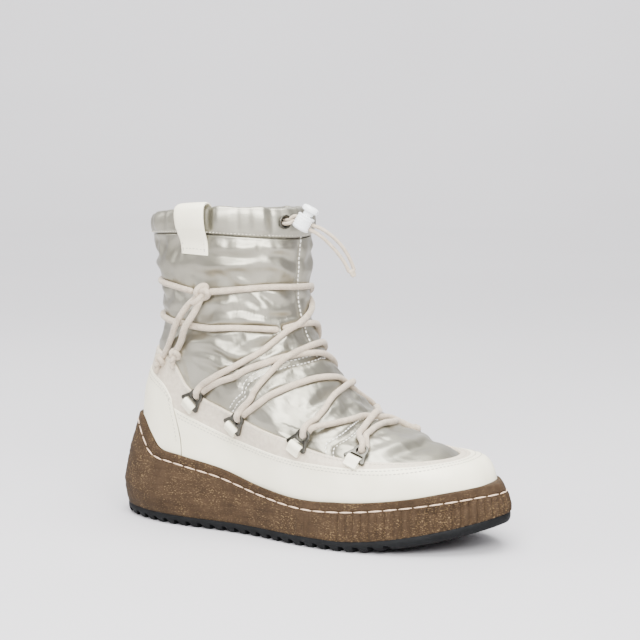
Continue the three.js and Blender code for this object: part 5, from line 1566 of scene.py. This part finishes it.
def lock():
    axis = unit(LOCK_AXIS)
    forward = unit(LOCK_FORWARD - axis * (LOCK_FORWARD @ axis))
    m = frame_matrix(forward, np.cross(axis, forward), axis, LOCK_CENTRE)
    half, radius, floor = LOCK_HALF, LOCK_RADIUS, -LOCK_HALF + LOCK_FLOOR
    profile = [[0, -half], [radius - 1.7, -half], [radius - 0.7, -half + 0.4], [radius - 0.15, -half + 1.3]]
    for k in range(5):
        z = -half + 2.0 + k * 1.25
        profile += [[radius, z], [radius, z + 0.65], [radius - 0.35, z + 0.8], [radius - 0.35, z + 1.1]]
    profile += [[radius - 0.05, half - 0.5], [radius - 0.5, half], [LOCK_WELL, half], [LOCK_WELL, floor],
                [0, floor]]
    body = joined_object("lock_barrel", [turned(profile, LOCK_SEGMENTS, m)], crease=40)
    hole = [[[x, y, z] for y, z in arc_box(*CORD_HOLE)] for x in HOLE_REACH]
    cut(body, [lattice(placed_rows(m, hole), cap="plain")])
    finish_piece(body, PLASTIC, ["cord_lock_body"])
    low = floor + BUTTON_TRAVEL + BUTTON_PLAY
    rim = half + BUTTON_TRAVEL + BUTTON_PLAY
    top = rim + BUTTON_CAP
    profile = [[0, low], [BUTTON_STEM, low], [BUTTON_STEM, rim], [4.4, rim], [5.2, rim + 0.3],
               [5.5, rim + 1.0], [5.5, top - 1.8], [5.2, top - 1.0], [4.5, top - 0.45], [3.2, top - 0.1],
               [1.6, top - 0.35], [0, top - 0.45]]
    button = joined_object("lock_push_button", [turned(profile, LOCK_SEGMENTS, m)], crease=40)
    wide, high = CORD_HOLE[0], CORD_HOLE[1] + BUTTON_TRAVEL
    slot = [[[x, y, z] for y, z in ((-wide, -9.0), (wide, -9.0), (wide, high), (-wide, high))]
            for x in HOLE_REACH]
    cut(button, [lattice(placed_rows(m, slot), cap="plain")])
    finish_piece(button, PLASTIC, ["cord_lock_button"], body="lock_button")


lock()

# Crimped tip: place along it, half width, half depth
TIP_SECTIONS = ((-2.6, 1.9, 0.95), (-2.3, 2.15, 1.15), (-0.8, 2.0, 1.1), (0.0, 1.7, 0.9), (0.8, 1.8, 1.0),
                (1.8, 1.5, 0.9), (2.4, 1.1, 0.7))
TIP_PAST_CORDS = 2.2


def crimped_tip():
    low, high = np.array(LOWER_DRAWCORD), np.array(UPPER_DRAWCORD)
    along = unit(low[-1] - low[-2])
    span = high[-1] - low[-1]
    span = unit(span - along * (span @ along))
    middle = (low[-1] + high[-1]) / 2 + along * TIP_PAST_CORDS
    m = frame_matrix(span, np.cross(along, span), along, middle)
    rows = [[[x, y, z] for x, y in arc_box(w, d, 0.5)] for z, w, d in TIP_SECTIONS]
    end = joined_object("crimped_end", [lattice(placed_rows(m, rows), cap="plain")], crease=45)
    return finish_piece(end, LACE_FINISH, ["drawcord_tip"])


tip = crimped_tip()


# Stitches: one geometry tree lays a short thread along each seam line
def stitch_tree():
    tree = bpy.data.node_groups.new("stitch_row", "GeometryNodeTree")
    face = tree.interface
    face.new_socket("Geometry", in_out="INPUT", socket_type="NodeSocketGeometry")
    for label in ("Pitch", "Stitch Length", "Thread Radius"):
        face.new_socket(label, in_out="INPUT", socket_type="NodeSocketFloat")
    face.new_socket("Thread", in_out="INPUT", socket_type="NodeSocketMaterial")
    face.new_socket("Geometry", in_out="OUTPUT", socket_type="NodeSocketGeometry")
    new = tree.nodes.new
    link = tree.links.new
    given = new("NodeGroupInput")
    result = new("NodeGroupOutput")
    resample = new("GeometryNodeResampleCurve")
    resample.mode = "LENGTH"
    ball = new("GeometryNodeMeshUVSphere")
    ball.inputs["Segments"].default_value = 7
    ball.inputs["Rings"].default_value = 6
    ball.inputs["Radius"].default_value = 1.0
    tangent = new("GeometryNodeInputTangent")
    turn = new("FunctionNodeAlignRotationToVector")
    turn.axis = "Z"
    half = new("ShaderNodeMath")
    half.operation = "MULTIPLY"
    half.inputs[1].default_value = 0.5
    size = new("ShaderNodeCombineXYZ")
    spread = new("GeometryNodeInstanceOnPoints")
    real = new("GeometryNodeRealizeInstances")
    smooth = new("GeometryNodeSetShadeSmooth")
    paint = new("GeometryNodeSetMaterial")
    link(given.outputs["Geometry"], resample.inputs["Curve"])
    link(given.outputs["Pitch"], resample.inputs["Length"])
    link(resample.outputs["Curve"], spread.inputs["Points"])
    link(ball.outputs["Mesh"], spread.inputs["Instance"])
    link(tangent.outputs["Tangent"], turn.inputs["Vector"])
    link(turn.outputs["Rotation"], spread.inputs["Rotation"])
    link(given.outputs["Stitch Length"], half.inputs[0])
    link(given.outputs["Thread Radius"], size.inputs["X"])
    link(given.outputs["Thread Radius"], size.inputs["Y"])
    link(half.outputs["Value"], size.inputs["Z"])
    link(size.outputs["Vector"], spread.inputs["Scale"])
    link(spread.outputs["Instances"], real.inputs["Geometry"])
    link(real.outputs["Geometry"], smooth.inputs["Geometry"])
    link(smooth.outputs["Geometry"], paint.inputs["Geometry"])
    link(given.outputs["Thread"], paint.inputs["Material"])
    link(paint.outputs["Geometry"], result.inputs["Geometry"])
    return tree


STITCH_TREE = stitch_tree()


def stitches(name, lines, pitch, length, radius, material, slot):
    curve = bpy.data.curves.new(name, "CURVE")
    curve.dimensions = "3D"
    for line in lines:
        line = (even_points(line, pitch / 2) + SHIFT) * MM
        spline = curve.splines.new("POLY")
        spline.points.add(len(line) - 1)
        spline.points.foreach_set("co", np.hstack([line, np.ones((len(line), 1))]).ravel())
    source = bpy.data.objects.new(name + "_path", curve)
    bpy.context.scene.collection.objects.link(source)
    modifier = source.modifiers.new("stitches", "NODES")
    modifier.node_group = STITCH_TREE
    values = {"Pitch": pitch * MM, "Stitch Length": length * MM, "Thread Radius": radius * MM,
              "Thread": material}
    for item in STITCH_TREE.interface.items_tree:
        if item.item_type == "SOCKET" and item.in_out == "INPUT" and item.name in values:
            modifier[item.identifier] = values[item.name]
    graph = bpy.context.evaluated_depsgraph_get()
    mesh = bpy.data.meshes.new_from_object(source.evaluated_get(graph), depsgraph=graph)
    bpy.data.objects.remove(source)
    mesh.name = name
    obj = bpy.data.objects.new(name, mesh)
    bpy.context.scene.collection.objects.link(obj)
    return finish_piece(obj, None)


def padded_line(points, lift):
    curve = smooth_curve(points, 300)
    stand = padding(curve[:, 0][None], curve[:, 1][None])
    return skin(curve[:, 0], curve[:, 1], stand[0] + lift)


def edge_lines(table, start, end, drops, lift):
    return [side_line(table, start, end, lift, drop, flip) for drop in drops for flip in (False, True)]


def double_lines(seam, apart, lift):
    return [padded_line([[v + shift, u] for v, u in p], lift) for p in (seam, mirrored(seam))
            for shift in (-apart, apart)]


# The seams that show their thread, each with its lines
PANEL_FACE = SEAT_GAP + OVERLAY
COUNTER_SEAM_U = 0.131
COUNTER_SEAM_V = np.linspace(0.16, 0.30, 60)
COLLAR_SEAM_U = np.linspace(0, 1, 700)
panel_lines = (edge_lines(MUDGUARD_TOP, 0.142, 0.499, (0.010, 0.024), PANEL_FACE + 0.05)
               + edge_lines(COUNTER_TOP, 0.001, 0.134, (0.012, 0.026), PANEL_FACE + 0.15))
facing_lines = edge_lines(FACING_TOP, 0.001, 0.499, (0.012,), SEAT_GAP + FACING + 0.05)
counter_lines = [skin(COUNTER_SEAM_V, np.full(60, u), np.full(60, PANEL_FACE + 0.12))
                 for u in (COUNTER_SEAM_U, 1 - COUNTER_SEAM_U)]
collar_line = skin(np.full(700, COLLAR_SEAM + 0.0095), COLLAR_SEAM_U, np.full(700, 0.95))
front_line = padded_line([[v, u + 0.005] for v, u in FRONT_SEAM], 0.25)
instep_lines = double_lines(INSTEP_SEAM, 0.007, 0.2)
vamp_lines = double_lines(VAMP_SEAM, 0.008, 0.15)
lip_line = np.vstack([sole_stitch_line, sole_stitch_line[:1]])

# Name, lines, pitch, length of a stitch, radius of the thread, thread and slot
STITCH_ROWS = [
    ("panel_stitches", panel_lines, 2.6, 1.9, 0.34, THREAD_WITH_PAINTED_SHADE, "cream_leather"),
    ("facing_stitches", facing_lines, 2.6, 1.9, 0.32, THREAD_WITH_PAINTED_SHADE, "cream_leather"),
    ("counter_stitches", counter_lines, 2.6, 1.9, 0.32, THREAD_WITH_PAINTED_SHADE, "cream_leather"),
    ("collar_stitches", [collar_line], 2.4, 1.4, 0.34, THREAD_WITH_PAINTED_SHADE, "cream_leather"),
    ("front_seam_stitches", [front_line], 2.8, 2.1, 0.42, BRIGHT_THREAD, "cream_leather"),
    ("instep_stitches", instep_lines, 2.8, 2.0, 0.36, BRIGHT_THREAD, "cream_leather"),
    ("vamp_stitches", vamp_lines, 2.6, 1.9, 0.40, BRIGHT_THREAD, "cream_leather"),
    ("strap_stitches", strap_lines, 2.4, 1.7, 0.3, THREAD_WITH_PAINTED_SHADE, "cream_leather"),
    ("sole_stitches", [lip_line], 9.4, 8.9, 0.52, SOLE_THREAD, "lace_cord"),
]
for row in STITCH_ROWS:
    stitches(*row)


# Floor with a soft rise into the wall, in metres
FLOOR_SEGMENTS = 72
FLOOR_CENTRE = 0.4
FLOOR_FLAT = 2.6
WALL_BEND = 1.2
WALL_HEIGHT = 3.2
BELOW_SOLE = 0.05


def stage():
    f = Finish("studio_floor", Roughness=0.7)
    f.two_tones(f.noise(f.object_place(), 1.5, 2.0), (0.50, 0.49, 0.505), (0.53, 0.52, 0.535))
    profile = [(FLOOR_CENTRE, 0.0), (1.2, 0.0), (FLOOR_FLAT, 0.0)]
    for a in np.linspace(0.1, math.pi / 2, 14):
        profile.append((FLOOR_FLAT + WALL_BEND * math.sin(a), WALL_BEND - WALL_BEND * math.cos(a)))
    profile.append((FLOOR_FLAT + WALL_BEND, WALL_HEIGHT))
    angle = np.linspace(0, 2 * np.pi, FLOOR_SEGMENTS, endpoint=False)
    rows = [[[r * math.cos(a) / MM, r * math.sin(a) / MM, z / MM - BELOW_SOLE] for a in angle]
            for r, z in profile]
    points, faces, _ = lattice(np.array(rows), flip=True)
    floor = make_object("studio_floor", points, faces + [list(range(FLOOR_SEGMENTS))])
    floor.data.materials.append(f.material)


stage()

# Studio lights: name, place, what it points at, size and power
LIGHTS = [
    ("overhead_softbox", (0.1, -0.2, 1.7), (0, 0, 0.05), (1.4, 1.4), 94),
    ("front_softbox", (0.75, -1.25, 1.05), (0, 0, 0.1), (1.8, 0.9), 101),
    ("side_softbox", (-1.7, -0.9, 0.9), (0, 0, 0.1), (0.7, 1.0), 14),
    ("backdrop_light", (-1.0, 1.75, 2.6), (-1.95, 3.35, 0.7), (3.2, 1.0), 172),
]
for name, place, target, size, power in LIGHTS:
    data = bpy.data.lights.new(name, "AREA")
    data.shape = "RECTANGLE"
    data.size, data.size_y = size
    data.energy = power
    light = bpy.data.objects.new(name, data)
    light.location = place
    light.rotation_euler = (Vector(target) - Vector(place)).to_track_quat("-Z", "Y").to_euler()
    bpy.context.scene.collection.objects.link(light)
world = bpy.data.worlds.new("studio")
world.use_nodes = True
world.node_tree.nodes["Background"].inputs["Color"].default_value = (0.86, 0.86, 0.88, 1)
world.node_tree.nodes["Background"].inputs["Strength"].default_value = 0.45
bpy.context.scene.world = world
